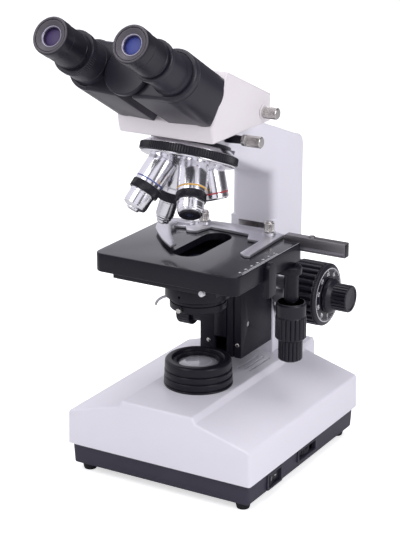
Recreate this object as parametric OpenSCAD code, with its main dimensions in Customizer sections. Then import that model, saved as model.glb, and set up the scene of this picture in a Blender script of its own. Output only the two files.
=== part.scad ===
// Binocular compound microscope. The optical axis is Z and meets the table at the origin.
// +X is the user's right hand, -Y is the user's side and +Z is up.

/* [Clearances] */
// Radial clearance of every shaft in its bearing
run_gap = 0.05; // [0.03:0.01:0.08]
// Air between pieces that pass or rest close to each other
air_gap = 0.3; // [0.3:0.05:0.5]

/* [Base] */
// Width of the cast base
base_w = 184; // [176:1:200]
// Distance from the optical axis forward to the front wall
base_front = 71; // [66:1:80]
// Distance from the optical axis back to the rear corners
base_back = 134; // [128:1:140]
// Height of the rubber feet
foot_h = 7.4; // [5:0.1:12]
// Radius of the foot where it meets the table
foot_r = 5.5; // [4:0.25:8]
// Height of the dark tray under the base
tray_h = 19.1; // [16:0.1:26]
// Set-back of the tray from the base wall
tray_inset = 2.6; // [1:0.1:4]
// Height of the base's upright side wall
side_h = 31; // [24:0.5:40]
// Height of the raised spine over the side wall's top
spine_rise = 20.5; // [16:0.5:28]
// Width of the raised spine
spine_w = 71; // [64:1:80]
// Step from the spine down to the sloping wings
wing_step = 5.5; // [3:0.5:8]
// Wall of the cast base and of the tray
base_wall = 3; // [2.5:0.25:4]

/* [Arm] */
// Width of the arm
arm_w = 45; // [40:1:52]
// Distance from the optical axis to the arm's front face
arm_front = 96; // [92:1:104]
// Depth of the arm
arm_d = 59; // [54:1:66]
// Depth of the arm's top below the point where the lens axes meet
arm_drop = 24.5; // [22:0.5:27]
// Fall of the arm's top towards the back
back_drop = 29; // [20:1:40]
// Radius of the arm's upright corners
arm_round = 7; // [4:0.5:9]
// Half width of the slot that the focus slide runs in
slot_half = 14.6; // [12:0.2:16]
// Height of the slot's top
slot_top = 201.6; // [198:0.2:208]

/* [Focusing] */
// Height of the focusing shaft over the table
focus_z = 135.5; // [130:0.5:142]
// Distance of the focusing shaft behind the optical axis
focus_y = 119; // [116:0.5:124]
// Radius of the coarse focusing knobs
coarse_r = 29; // [25:0.5:31]
// Thickness of the coarse focusing knobs
coarse_w = 31; // [24:1:33]
// Radius of the fine focusing knobs
fine_r = 12.5; // [10:0.5:16]
// How far each fine knob's face stands from the middle plane
fine_reach = 90; // [86:1:98]
// Pitch radius of the focusing pinion
pinion_r = 6; // [5:0.5:7]
// Travel of the stage below its height at rest
focus_down = 10; // [8:1:14]
// Travel of the stage above its height at rest
focus_up = 9; // [4:1:9]

/* [Stage] */
// Height of the stage surface at rest
stage_top = 203.3; // [201:0.1:206]
// Width of the stage
stage_w = 140; // [130:1:150]
// Distance from the optical axis to the stage's front edge
stage_front = 58.2; // [50:0.2:64]
// Distance from the optical axis to the stage's back edge
stage_back = 56.4; // [54:0.2:58]
// Thickness of the stage plate
stage_t = 16.6; // [14:0.2:18]
// Width of the slot in the stage
window_w = 26; // [20:1:32]
// Thickness of the fixed plate under the stage
under_t = 8; // [6:0.5:9]
// Travel of the stage forwards and back
stage_y_travel = 20; // [10:1:22]
// Travel of the slide holder left and right
stage_x_travel = 25; // [10:1:28]

/* [Condenser] */
// Radius of the condenser's mounting ring
cond_r = 29; // [28:0.5:31]
// Travel of the condenser below its height at rest
cond_down = 12; // [6:1:14]

/* [Nosepiece] */
// Tilt of the nosepiece and half angle of its cone of lenses
nose_tilt = 22; // [18:0.5:24]
// Height of the point where the lens axes meet over the stage surface
nose_rise = 124.2; // [118:0.2:130]
// Radius of the nosepiece's gripping ring
nose_r = 42; // [38:0.5:43]
// Turn of the nosepiece from its click stop at rest
nose_turn = 44; // [0:1:90]

/* [Binocular head] */
// Height of the head's underside over the arm's top
head_gap = 8; // [7.5:0.5:11]
// Height of the tubes' hinge axis over the head's underside
hinge_rise = 29.7; // [28:0.1:32]
// Width of the head
head_w = 92; // [86:1:96]
// Slope of the eye tubes above the horizontal
tube_tilt = 30; // [25:1:35]
// Distance between the eyepieces at rest
eye_dist = 74; // [70:0.5:74.5]
// Radius of the eyepiece barrel
eye_r = 15.25; // [14:0.25:16]
// Radius of the circle that the eye tubes swing on
swing_r = 37.2; // [37.2:0.1:38]
// Length of the prism housings
drum_l = 82; // [76:1:88]
// Radius of the prism housings
drum_r = 21.5; // [20:0.25:22]
// Length of an eyepiece above its seat
eye_l = 34; // [28:1:40]

/* [Hidden] */

// Colours
WHITE = [0.86, 0.85, 0.88];
BLACK = [0.13, 0.13, 0.15];
DARK = [0.27, 0.26, 0.3];
CHROME = [0.75, 0.76, 0.78];
STEEL = [0.62, 0.62, 0.66];
BRASS = [0.72, 0.6, 0.35];
GLASS = [0.6, 0.7, 0.8, 0.4];

// Heights that build on each other
nose_apex = stage_top + nose_rise;
arm_top = nose_apex - arm_drop;
arm_back_top = arm_top - back_drop;
head_z = arm_top + head_gap;
hinge_z = head_z + hinge_rise;

// Base and arm
tray_z = foot_h;
shell_z = foot_h + tray_h;
side_z = shell_z + side_h;
spine_z = side_z + spine_rise;
half_w = base_w / 2;
spine_half = spine_w / 2;
arm_back = arm_front + arm_d;
arm_half = arm_w / 2;
base_draft = 1;
foot_in = 14;
feet = [for (x = [-1, 1], y = [-base_front + foot_in, base_back - foot_in]) [x * (half_w - foot_in), y]];
arm_bolts = [for (x = [-1, 1], y = [arm_front + 14, arm_back - 14]) [x * (arm_half - 10), y]];
rocker_y0 = -34;
rocker_y1 = -12;
rocker_z0 = shell_z - 16.5;
rocker_z1 = shell_z - 3;
rocker_x = half_w - tray_inset - 6;
rocker_y = (rocker_y0 + rocker_y1) / 2;
wheel_y = 37;
wheel_z = shell_z - 8;
wheel_r = 17;
wheel_x = half_w - tray_inset - wheel_r + 0.5;
screw_r = 2;
bolt_r = 3;
bolt_depth = 10;
cavity_back = focus_y + 14;
slot_bottom = spine_z + 12;
bush_r = 9;
shaft_r = 5;
fine_shaft_r = 2.5;
lamp_z = 45;
collar_h = 23.7;
filter_r = 22.6;
knob_in = arm_half + 13.8;
fine_l = fine_reach - knob_in - coarse_w - 0.3;
collar_r = coarse_r - 1;
light_r = 12;

// Focusing
tooth_n = 16;
tooth_pitch = 2 * PI * pinion_r / tooth_n;
tooth_add = 0.6;
tooth_ded = 0.9;
rack_line = focus_y - pinion_r;
slide_front = arm_front - air_gap;
slide_half = slot_half - air_gap;
slide_bottom = slot_bottom + focus_down + 2;
slide_top = slot_top - focus_up - 13;

// Stage
stage_z = stage_top - stage_t;
pocket_h = 10.3;
skirt = 6;
rail_l = 28;
rail_in = 30;
rail_out = 111;
y_knob_z = stage_z - 65.7;
under_z = stage_z - 0.5 - under_t;
under_half = stage_w / 2 - 16;
column_half = 21;
column_front = 39;
column_bottom = spine_z + focus_down + 3;
rail_y = stage_back + 3;
rail_d = 8;
rail_z = stage_top - 9;
rail_h = 12.5;
holder_z = stage_top + air_gap;
holder_t = 2.4;
drop_x = stage_w / 2;
drop_y = 40;
drop_r = 6.4;
ball_r = 13.7;
holder_screw_x = [-27, 38.7];
holder_screw_y = 56;
finger_pivot = [-37, 48];

// Condenser
cond_z = stage_top - 42.3;
cond_h = 12;
cond_in = 26;
iris_r = 25;
iris_h = 11.2;
pinion2_r = tooth_pitch * 13 / 2 / PI;
rack2_line = column_front + 8.5;
pinion_y = rack2_line + pinion2_r;
filter_rest = [0, 2];
filter_pin = [-18.4, 7.8];
cond_knob_z = cond_z - 41;

// Head
swing_rest = acos(eye_dist / 2 / swing_r);
hinge_y = -46.5;
head_half = head_w / 2;
seat_r = 27;
seat_top = head_z - 4.2;
seat_floor = arm_top - 2;
plug_r = 21;
clamp_z = seat_top - 3.4;
spindle_r = 3.6;
seat_s = 54.7;
lens_r = 12.5;
tips = [80, 101, 104, 108];
axle_r = 6;
hub_r = 13;
cap_r = 19.5;
cap_t = drum_l - 14;
lid_z = cap_t - 6.5;
neck_r = 16.2;
left_drop = 2.5;
function seat_drop(side) = side < 0 ? left_drop : 0;
sleeve_r = 11.6;

// Extrudes an outline given in Y and Z, both ways along X from the middle plane
module across(points, half) {
  rotate([90, 0, 90])
    translate([0, 0, -half])
      linear_extrude(2 * half)
        polygon(points);
}

// Extrudes an outline given in X and Z from y0 to y1
module along(points, y0, y1) {
  translate([0, y1, 0])
    rotate([90, 0, 0])
      linear_extrude(y1 - y0)
        polygon(points);
}

// Box between two corners
module block(low, high) {
  translate(low)
    cube(high - low);
}

// Round bar along X
module bar_x(r, x0, x1, y, z, sides = 48) {
  translate([x0, y, z])
    rotate([0, 90, 0])
      cylinder(r = r, h = x1 - x0, $fn = sides);
}

// Round bar along Y
module bar_y(r, y0, y1, x, z, sides = 48) {
  translate([x, y1, z])
    rotate([90, 0, 0])
      cylinder(r = r, h = y1 - y0, $fn = sides);
}

// Round post along Z
module post(r, z0, z1, x = 0, y = 0, sides = 48) {
  translate([x, y, z0])
    cylinder(r = r, h = z1 - z0, $fn = sides);
}

// Ring along Z
module ring(r_out, r_in, z0, z1, x = 0, y = 0, sides = 64) {
  difference() {
    post(r_out, z0, z1, x, y, sides);
    post(r_in, z0 - 1, z1 + 1, x, y, sides);
  }
}

// Rectangle with round upright edges
module slab(x0, x1, y0, y1, z0, z1, r) {
  translate([0, 0, z0])
    linear_extrude(z1 - z0)
      union() {
        translate([x0 + r, y0])
          square([x1 - x0 - 2 * r, y1 - y0]);
        translate([x0, y0 + r])
          square([x1 - x0, y1 - y0 - 2 * r]);
        for (x = [x0 + r, x1 - r], y = [y0 + r, y1 - r])
          translate([x, y])
            circle(r = r, $fn = 32);
      }
}

// Knurled round bar along Z with straight grooves
module knurled(r, z0, z1, count, groove) {
  difference() {
    post(r, z0, z1);
    for (i = [0 : count - 1])
      rotate([0, 0, i * 360 / count])
        translate([r + groove * 0.5, 0, z0 - 1])
          cylinder(r = groove, h = z1 - z0 + 2, $fn = 12);
  }
}

// Frame of the nosepiece: origin where the lens axes meet, +Z along its tilted axis
module in_nose() {
  translate([0, 0, nose_apex])
    rotate([180 - nose_tilt, 0, 0])
      children();
}

// Frame of one objective: +Z along its axis, away from the head
module in_objective(i) {
  in_nose()
    rotate([0, 0, -90 + nose_turn + 90 * i])
      rotate([0, nose_tilt, 0])
        children();
}

// Frame of the binocular: origin where the hinge axis leaves the head, +Z towards the eyes
module in_head() {
  translate([0, hinge_y, hinge_z])
    rotate([90 - tube_tilt, 0, 0])
      children();
}

// Frame of one eye tube: +Z along its axis; side is -1 for left and 1 for right
module in_tube(side) {
  in_head()
    rotate([0, 0, side * swing_rest])
      translate([side * swing_r, 0, 0])
        children();
}

// Base: outline seen from above, drawn in by inset
function base_outline(inset) = [
  [-half_w + inset + 4, -base_front + inset], [half_w - inset - 4, -base_front + inset],
  [half_w - inset - 1.2, -base_front + inset + 1.2], [half_w - inset, -base_front + inset + 4],
  [half_w - inset, base_back - inset - 4], [half_w - inset - 4, base_back - inset],
  [spine_half + 2 - inset, arm_back - 3 - inset], [spine_half - 8, arm_back - inset],
  [-spine_half + 8, arm_back - inset], [-spine_half - 2 + inset, arm_back - 3 - inset],
  [-half_w + inset + 4, base_back - inset], [-half_w + inset, base_back - inset - 4],
  [-half_w + inset, -base_front + inset + 4], [-half_w + inset + 1.2, -base_front + inset + 1.2]
];

// Base: section from side to side, drawn in by inset
function base_section(inset) = [
  [-half_w + inset, shell_z - 1 + min(inset, 1)], [half_w - inset, shell_z - 1 + min(inset, 1)],
  [half_w - base_draft - inset, side_z - inset], [spine_half + 3 - inset, spine_z - wing_step - inset],
  [spine_half - inset, spine_z - inset], [-spine_half + inset, spine_z - inset],
  [-spine_half - 3 + inset, spine_z - wing_step - inset], [-half_w + base_draft + inset, side_z - inset]
];

module base_form(inset) {
  intersection() {
    translate([0, 0, shell_z])
      linear_extrude(spine_z - shell_z + 1)
        polygon(base_outline(inset));
    along(base_section(inset), -base_front - 1, arm_back + 1);
  }
}

module base_shell() {
  color(WHITE)
    difference() {
      base_form(0);
      translate([0, 0, -0.01])
        base_form(base_wall);
      post(25, spine_z - 10, spine_z + 1, sides = 64);
      for (x = [-26, -20, -14, 14, 20, 26])
        slab(x - 1.1, x + 1.1, column_front + 7, arm_front - 12, spine_z - 10, spine_z + 1, 1);
      for (p = arm_bolts)
        post(bolt_r + 0.3, spine_z - 10, spine_z + 1, p[0], p[1], 32);
      block([-slot_half, arm_back - 10, 40], [slot_half, arm_back + 1, 61]);
    }
}

module base_tray() {
  t = tray_inset;
  z = tray_z + base_wall - 1;
  color(DARK) {
    // Pins that the switch's rocker and the brightness wheel turn on
    post(1.5, z, rocker_z1 - 1, rocker_x, rocker_y, 24);
    post(2, z, wheel_z + 3.5, wheel_x, wheel_y, 32);
    post(4, z, wheel_z - 2.8, wheel_x, wheel_y, 32);
    difference() {
      intersection() {
        translate([0, 0, tray_z])
          linear_extrude(tray_h)
            polygon(base_outline(t));
        along([[-half_w + t + 1.2, tray_z], [half_w - t - 1.2, tray_z],
               [half_w - t, shell_z], [-half_w + t, shell_z]], -base_front, arm_back);
      }
      translate([0, 0, tray_z + base_wall])
        linear_extrude(tray_h)
          polygon(base_outline(t + base_wall));
      // Openings of the power switch and of the brightness wheel
      block([half_w - 12, rocker_y0, rocker_z0], [half_w + 1, rocker_y1, rocker_z1]);
      block([half_w - 12, wheel_y - 16, wheel_z - 4.5], [half_w + 1, wheel_y + 16, wheel_z + 4.5]);
      for (p = feet)
        post(screw_r + 0.2, tray_z - 1, tray_z + 6, p[0], p[1], 24);
    }
  }
}

module rubber_feet() {
  color(BLACK)
    for (p = feet)
      difference() {
        union() {
          translate([p[0], p[1], 0])
            cylinder(r1 = foot_r, r2 = foot_r + 1.2, h = foot_h - 1.5, $fn = 48);
          post(foot_r + 2, foot_h - 1.5, foot_h, p[0], p[1]);
        }
        post(screw_r, 3, foot_h + 1, p[0], p[1], 24);
        post(4, -1, 3, p[0], p[1], 32);
      }
}

module base_screws() {
  color(STEEL) {
    for (p = feet) {
      post(3.6, 1, 3, p[0], p[1], 32);
      post(screw_r - run_gap, 3, tray_z + base_wall + 3, p[0], p[1], 24);
      ring(4, screw_r - run_gap, tray_z + base_wall, tray_z + base_wall + 2.5, p[0], p[1], 24);
    }
    for (p = arm_bolts) {
      post(5, spine_z - base_wall - 4, spine_z - base_wall, p[0], p[1], 32);
      post(bolt_r - run_gap, spine_z - base_wall, spine_z + bolt_depth - 1, p[0], p[1], 32);
    }
  }
}

// Rocker of the power switch, pressed at its front end
module power_rocker() {
  color(BLACK)
    translate([rocker_x, rocker_y, (rocker_z0 + rocker_z1) / 2])
      rotate([0, 0, 6])
        difference() {
          translate([-4, -8.6, -5.8])
            cube([9.6, 17.2, 11.6]);
          translate([33.6, 0, -7])
            cylinder(r = 29, h = 14, $fn = 96);
          translate([0, 0, -7])
            cylinder(r = 1.5 + run_gap, h = 14, $fn = 24);
        }
}

// Wheel of the lamp's brightness control, on an upright pin
module brightness_wheel() {
  color(BLACK)
    translate([wheel_x, wheel_y, 0])
      difference() {
        knurled(wheel_r, wheel_z - 2.5, wheel_z + 2.5, 36, 0.7);
        post(2 + run_gap, wheel_z - 4, wheel_z + 4, sides = 32);
      }
}

module mains_inlet() {
  color(BLACK)
    difference() {
      union() {
        block([-slot_half - 2.5, arm_back, 37.5], [slot_half + 2.5, arm_back + 2.5, 63.5]);
        block([-slot_half + 0.3, arm_back - 24, 40.3], [slot_half - 0.3, arm_back, 60.7]);
      }
      block([-12, arm_back - 14, 45], [12, arm_back + 3, 58.5]);
    }
  color(CHROME)
    for (p = [[-7, 50.5], [0, 53.5], [7, 50.5]])
      block([p[0] - 1, arm_back - 15, p[1] - 2], [p[0] + 1, arm_back - 6, p[1] + 2]);
}

module transformer() {
  y = arm_front - 13;
  z = tray_z + base_wall;
  color(STEEL)
    block([26 - half_w, y - 21, z], [76 - half_w, y + 21, z + 38]);
  color(BRASS)
    for (side = [-1, 1])
      block([32 - half_w, y + side * 24.5 - 3.5, z + 7], [70 - half_w, y + side * 24.5 + 3.5, z + 31]);
}

module lamp_holder() {
  z = tray_z + base_wall;
  color(BRASS)
    difference() {
      union() {
        block([-14, 66, z], [14, 84, z + 3]);
        block([-10, 70, z + 3], [10, 82, lamp_z + 8]);
      }
      for (x = [-3, 3])
        bar_y(0.8, 60, 76, x, lamp_z, 16);
    }
}

// Small halogen lamp lying along the base, with its two pins
module halogen_lamp() {
  color(GLASS) {
    bar_y(5.5, 50, 69.5, 0, lamp_z, 32);
    translate([0, 50, lamp_z])
      rotate([90, 0, 0])
        cylinder(r1 = 5.5, r2 = 2.5, h = 4, $fn = 32);
  }
  color(STEEL)
    for (x = [-3, 3])
      bar_y(0.7, 69, 75.5, x, lamp_z, 16);
}

// Mirror that turns the lamp's light upwards
module lamp_mirror() {
  z = tray_z + base_wall;
  color(CHROME)
    across([[-20, lamp_z + 18], [20, lamp_z - 22], [14, lamp_z - 22], [-20, lamp_z + 12]], 16);
  color(STEEL)
    block([-8, -20, z], [8, -12, lamp_z + 6]);
}

// Collar over the lamp's light, with a round seat for a loose filter
module collector_housing() {
  color(BLACK)
    translate([0, 0, spine_z])
      rotate_extrude($fn = 96)
        polygon([
          [19, -8], [24.7, -8], [24.7, 0], [30.6, 0], [30.6, 3.5], [29.9, 4.2], [30.4, 5],
          [30.1, 9.5], [29.4, 10.2], [29.9, 11], [29.6, 15.5], [28.9, 16.2], [29.4, 17],
          [29, collar_h - 1], [28, collar_h], [filter_r, collar_h], [filter_r, collar_h - 2.5],
          [19, collar_h - 2.5]
        ]);
}

module collector_lens() {
  z = spine_z + collar_h - 2.5;
  color(GLASS)
    translate([0, 0, z])
      rotate_extrude($fn = 96)
        polygon([[0, -9], [18.9, -9], [18.9, -2.5], [16, -1.4], [12, -0.6], [6, -0.15], [0, 0]]);
}

// Height of the nose's underside at y, on a plane w from where the lens axes meet
function nose_under(y, w) = nose_apex - (w - y * sin(nose_tilt) * -1) / cos(nose_tilt);

// Arm: foot, pillar and nose in one casting
module arm() {
  y0 = arm_front;
  y1 = arm_back;
  step_z = slot_top + 3.5;
  z_in = nose_under(y0, 38);
  color(WHITE)
    difference() {
      union() {
        across([
          [y0, spine_z], [y1, spine_z], [y1, arm_back_top - 9], [y1 - 1, arm_back_top - 4.5],
          [y1 - 4, arm_back_top - 1], [y1 - 8, arm_back_top + 1], [76, arm_top - 3], [66, arm_top],
          [0, arm_top], [0, nose_under(0, 38)], [y0 - 12, nose_under(y0 - 12, 38)],
          [y0 - 7, z_in - 1], [y0 - 3, z_in - 5], [y0 - 0.8, z_in - 10], [y0, z_in - 15]
        ], arm_half);
        post(seat_r, nose_apex - 32.5, seat_top, sides = 96);
      }
      // Round room for the nosepiece, and the seat of the head
      in_nose()
        translate([0, 0, 30])
          cylinder(r = nose_r + 1.5, h = 60, $fn = 96);
      post(plug_r + run_gap, seat_floor, seat_top + 1, sides = 96);
      post(light_r, seat_floor - 30, seat_floor + 1);
      bar_x(2.5, plug_r - 4, seat_r + 2, 0, clamp_z, 32);
      // Slot of the focusing slide
      block([-slot_half, y0 - 1, slot_bottom], [slot_half, cavity_back, slot_top]);
      bar_x(bush_r, -arm_half - 1, arm_half + 1, focus_y, focus_z, 64);
      for (p = arm_bolts)
        post(bolt_r, spine_z - 1, spine_z + bolt_depth, p[0], p[1], 32);
      // Round upright edges of the pillar above the slot
      for (side = [-1, 1])
        difference() {
          block([side * arm_half - arm_round, y0 - 1, step_z],
                [side * arm_half + arm_round, y0 + arm_round, z_in - 15]);
          post(arm_round, step_z - 1, z_in, side * (arm_half - arm_round), y0 + arm_round);
          block([-arm_half + arm_round, y0 - 2, step_z - 1],
                [arm_half - arm_round, y0 + arm_round + 1, z_in]);
        }
      for (side = [-1, 1])
        difference() {
          block([side * arm_half - arm_round, y1 - arm_round, spine_z - 1],
                [side * arm_half + arm_round, y1 + 1, arm_top]);
          post(arm_round, spine_z - 2, arm_top + 1, side * (arm_half - arm_round), y1 - arm_round);
          block([-arm_half + arm_round, y1 - arm_round - 1, spine_z - 2],
                [arm_half - arm_round, y1 + 2, arm_top + 1]);
        }
    }
}

// Bearings of the coarse shaft; the left one carries a spacer
module focus_bushes() {
  color(STEEL)
    difference() {
      union() {
        bar_x(bush_r, slot_half, arm_half + 0.5, focus_y, focus_z, 64);
        bar_x(bush_r, -arm_half - 0.5, -slot_half, focus_y, focus_z, 64);
        bar_x(bush_r + 3, -arm_half - 1, -arm_half, focus_y, focus_z, 64);
      }
      bar_x(shaft_r + run_gap, -arm_half - 2, arm_half + 2, focus_y, focus_z);
    }
  color(BLACK)
    difference() {
      bar_x(collar_r - 1, -knob_in + 0.5, -arm_half - 1, focus_y, focus_z, 96);
      bar_x(shaft_r + run_gap, -knob_in, -arm_half, focus_y, focus_z);
    }
}

// Outline of a straight-sided pinion whose first gap faces +X
function pinion_outline(n, r) = [
  for (i = [0 : n - 1], k = [0 : 3])
    let (a = (i + 0.5) * 360 / n)
    let (half = 360 / n * [0.24, 0.12, -0.12, -0.24][3 - k])
    let (q = r + [-tooth_ded, tooth_add, tooth_add, -tooth_ded][k])
    [q * cos(a + half), q * sin(a + half)]
];

// Outline of a rack in Y and Z: pitch line at y, teeth towards +Y, a tooth centred on z
function rack_outline(y, z, low, high, back) = concat(
  [[back, low * tooth_pitch + z - tooth_pitch / 2]],
  [
    for (i = [low : high], k = [0 : 3])
      [y + [-tooth_ded, tooth_add, tooth_add, -tooth_ded][k],
       z + (i + [-0.3, -0.12, 0.12, 0.3][k]) * tooth_pitch]
  ],
  [[back, high * tooth_pitch + z + tooth_pitch / 2]]
);

// Coarse focusing shaft: a tube with the pinion cut in its middle
module coarse_shaft() {
  color(STEEL)
    difference() {
      union() {
        bar_x(shaft_r, -knob_in - coarse_w + 8, knob_in + coarse_w - 8, focus_y, focus_z, 64);
        translate([-7, focus_y, focus_z])
          rotate([0, 90, 0])
            rotate([0, 0, -90])
              linear_extrude(14)
                polygon(pinion_outline(tooth_n, pinion_r));
      }
      bar_x(fine_shaft_r + run_gap, -200, 200, focus_y, focus_z);
    }
}

// One coarse knob with its inner face at x = 0, pointing to +X
module coarse_knob() {
  rotate([0, 90, 0])
    difference() {
      union() {
        cylinder(r = coarse_r - 1.5, h = coarse_w, $fn = 96);
        difference() {
          translate([0, 0, 1.5])
            cylinder(r = coarse_r, h = coarse_w - 8, $fn = 96);
          for (i = [0 : 29])
            rotate([0, 0, i * 12])
              translate([coarse_r + 0.4, 0, 0])
                rotate([0, 0, 45])
                  translate([-1.2, -1.2, 1])
                    cube([2.4, 2.4, coarse_w]);
        }
        translate([0, 0, coarse_w - 5])
          cylinder(r = coarse_r - 0.5, h = 4, $fn = 96);
      }
      translate([0, 0, coarse_w - 1])
        cylinder(r = coarse_r - 6, h = 2, $fn = 96);
      translate([0, 0, coarse_w - 8])
        cylinder(r = fine_shaft_r + 1, h = 10, $fn = 32);
      translate([0, 0, -1])
        cylinder(r = shaft_r, h = coarse_w - 7, $fn = 48);
    }
}

module coarse_knobs() {
  color(BLACK)
    for (side = [0, 1])
      translate([0, focus_y, focus_z])
        mirror([side, 0, 0])
          translate([knob_in, 0, 0])
            coarse_knob();
}

module fine_shaft() {
  x = knob_in + coarse_w + fine_l - 4;
  color(CHROME)
    bar_x(fine_shaft_r, -x, x, focus_y, focus_z);
}

// One fine knob: broad flange, then the ribbed grip
module fine_knob() {
  rotate([0, 90, 0])
    difference() {
      union() {
        cylinder(r = fine_r + 3.5, h = fine_l - 17, $fn = 64);
        translate([0, 0, 1])
          knurled(fine_r, 0, fine_l - 1, 24, 0.8);
      }
      translate([0, 0, -1])
        cylinder(r = fine_shaft_r, h = fine_l - 3, $fn = 48);
      translate([0, 0, fine_l - 1])
        cylinder(r = fine_r - 3, h = 2, $fn = 48);
    }
}

module fine_knobs() {
  color(BLACK)
    for (side = [0, 1])
      translate([0, focus_y, focus_z])
        mirror([side, 0, 0])
          translate([knob_in + coarse_w + 0.3, 0, 0])
            fine_knob();
}

// Ring beside the right knob that sets how stiffly the focus turns
module tension_collar() {
  color(BLACK)
    difference() {
      union() {
        bar_x(collar_r, arm_half + 1, knob_in - 0.5, focus_y, focus_z, 96);
        for (a = [0 : 30 : 359])
          translate([0, focus_y, focus_z])
            rotate([a, 0, 0])
              bar_x(1.6, arm_half + 4, knob_in - 1.5, collar_r - 0.7, 0, 24);
      }
      bar_x(shaft_r + air_gap, arm_half, knob_in, focus_y, focus_z);
    }
}

// Slide in the arm's slot, with the rack on its back
module focus_slide() {
  low = ceil((slide_bottom - focus_z) / tooth_pitch) + 1;
  high = floor((slide_top - focus_z) / tooth_pitch) - 1;
  color(STEEL)
    block([-slide_half, slide_front, slide_bottom], [slide_half, rack_line - 5, slide_top]);
  color(BRASS)
    across(rack_outline(rack_line, focus_z, low, high, rack_line - 5.5), 5);
}

// Column that carries the stage, open below
module stage_carrier() {
  y0 = column_front;
  h = column_half;
  color(BLACK)
    difference() {
      union() {
        block([-h, y0, column_bottom], [h, slide_front, under_z]);
        block([-h + 4, slide_front - 1, slide_bottom], [h - 4, slide_front, slide_top]);
      }
      block([-h + 3, y0 + 3.5, column_bottom - 1], [h - 3, slide_front - 4, under_z - 4]);
      // Guide of the condenser's slide
      block([-6.3, y0 - 1, column_bottom - 1], [6.3, y0 + 4, under_z - 4]);
      // Groove down the front
      block([h - 8.5, y0 - 1, column_bottom - 1], [h - 6.5, y0 + 1.5, under_z - 6]);
      bar_x(2.5 + run_gap, -h - 1, h + 1, pinion_y, cond_knob_z);
    }
}

// Fixed table under the stage, with a wide hole for the condenser
module stage_underplate() {
  y = stage_front - 8.2;
  color(BLACK)
    difference() {
      translate([0, 0, under_z])
        linear_extrude(under_t)
          polygon([
            [-under_half - 1, -y], [under_half - 14, -y], [under_half - 10, 4 - y],
            [under_half - 10, 16 - y], [under_half, 22 - y], [under_half, stage_back + 3.6],
            [-under_half - 1, stage_back + 3.6]
          ]);
      post(cond_r + 1, under_z - 1, under_z + under_t + 1, sides = 96);
      block([-under_half - 2, -y - 1, under_z - 1], [under_half - 8, 5 - y, under_z + 2.2]);
    }
  color(CHROME)
    bar_y(2.5, -y - 3, 1 - y, under_half - 20, under_z + under_t / 2, 32);
}

module stage_rails() {
  z = under_z + under_t;
  color(STEEL)
    for (side = [-1, 1])
      block([side * 47 - 3, -rail_l, z], [side * 47 + 3, rail_l, stage_z + pocket_h - 0.4]);
}

// Sliding stage: plate, skirt and the ledge that carries the X rail
module stage_plate() {
  x = stage_w / 2;
  z0 = stage_z;
  z1 = stage_z + pocket_h;
  color(BLACK) {
    difference() {
      stage_outline(z0, stage_top);
      block([-x + skirt, -stage_front + skirt, z0 - 1], [x - skirt, stage_back - skirt, z1]);
      stage_window(z0, stage_top + 1);
    }
    for (side = [-1, 1])
      block([side * 53.5 - 3.2, -rail_l - 18, z0 + 2.5], [side * 53.5 + 3.2, rail_l + 18, z1]);
    block([-46, stage_back, z0 - 0.5], [46, stage_back + 11, rail_z - 0.4]);
    block([-46, stage_back, rail_z - 0.4], [46, rail_y - 0.4, stage_top]);
  }
}

// Outline of the stage with round front corners
module stage_outline(z0, z1) {
  x = stage_w / 2;
  translate([0, 0, z0])
    linear_extrude(z1 - z0)
      union() {
        translate([-x + 12, -stage_front])
          square([2 * x - 24, 24]);
        translate([-x, -stage_front + 12])
          square([2 * x, stage_front + stage_back - 12]);
        for (side = [-1, 1])
          translate([side * (x - 12), -stage_front + 12])
            circle(r = 12, $fn = 48);
      }
}

// Long window in the stage with round ends
module stage_window(z0, z1) {
  r = window_w / 2;
  post(r, z0, z1, 0, -29.2 + r);
  post(r, z0, z1, 0, 51 - r - skirt);
  block([-r, -29.2 + r, z0], [r, 51 - r - skirt, z1]);
}

// Small upright bearing block on the stage's right edge
module guide_block() {
  x = stage_w / 2;
  color(BLACK)
    union() {
      block([x, -11, stage_z - 14], [x + 5.4, 2, stage_top - 4]);
      bar_x(5, x, x + 5.4, -4.5, stage_top - 5.4, 48);
    }
}

// Fixed tube under the stage that both stage knobs turn on
module xy_drop_tube() {
  z = stage_z;
  color(BLACK)
    difference() {
      union() {
        block([drop_x - 14, drop_y - 9, z - 7], [drop_x, drop_y + 9, z]);
        post(9, z - 7, z, drop_x, drop_y);
        post(drop_r, z - 31, z - 6, drop_x, drop_y);
        post(4, y_knob_z + 0.3, z - 30, drop_x, drop_y);
      }
      post(2 + run_gap, y_knob_z - 2, z + 1, drop_x, drop_y, 32);
    }
}

// Knob that moves the stage to and fro
module y_knob() {
  color(BLACK)
    translate([drop_x, drop_y, 0])
      difference() {
        union() {
          knurled(ball_r, y_knob_z, y_knob_z + 20, 20, 1);
          post(ball_r - 0.6, y_knob_z + 20, y_knob_z + 33);
        }
        post(4 + run_gap, y_knob_z - 1, y_knob_z + 34);
      }
}

// Knob that moves the slide from side to side, with its shaft up the tube
module x_knob() {
  color(BLACK)
    translate([drop_x, drop_y, y_knob_z - 21.5])
      difference() {
        union() {
          knurled(ball_r - 3, 2, 21, 18, 0.9);
          cylinder(r1 = ball_r - 6, r2 = ball_r - 3.4, h = 2, $fn = 48);
        }
        post(2, 8, 22, sides = 32);
      }
  color(CHROME)
    post(2, y_knob_z - 13.5, stage_z - 1, drop_x, drop_y, 32);
}

// Bar behind the stage that carries the slide holder
module x_rail() {
  color(BLACK)
    difference() {
      union() {
        block([-rail_in, rail_y, rail_z], [rail_out, rail_y + rail_d, holder_z]);
        block([52, rail_y, stage_top - 1], [rail_out, rail_y + rail_d, rail_z + rail_h]);
        post(3, stage_top, rail_z + rail_h + 1.5, rail_out - 34, rail_y + 4, 32);
      }
      block([50, rail_y - 1, rail_z + 1.5], [rail_out - 2, rail_y + 1.2, rail_z + 4]);
    }
}

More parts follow.
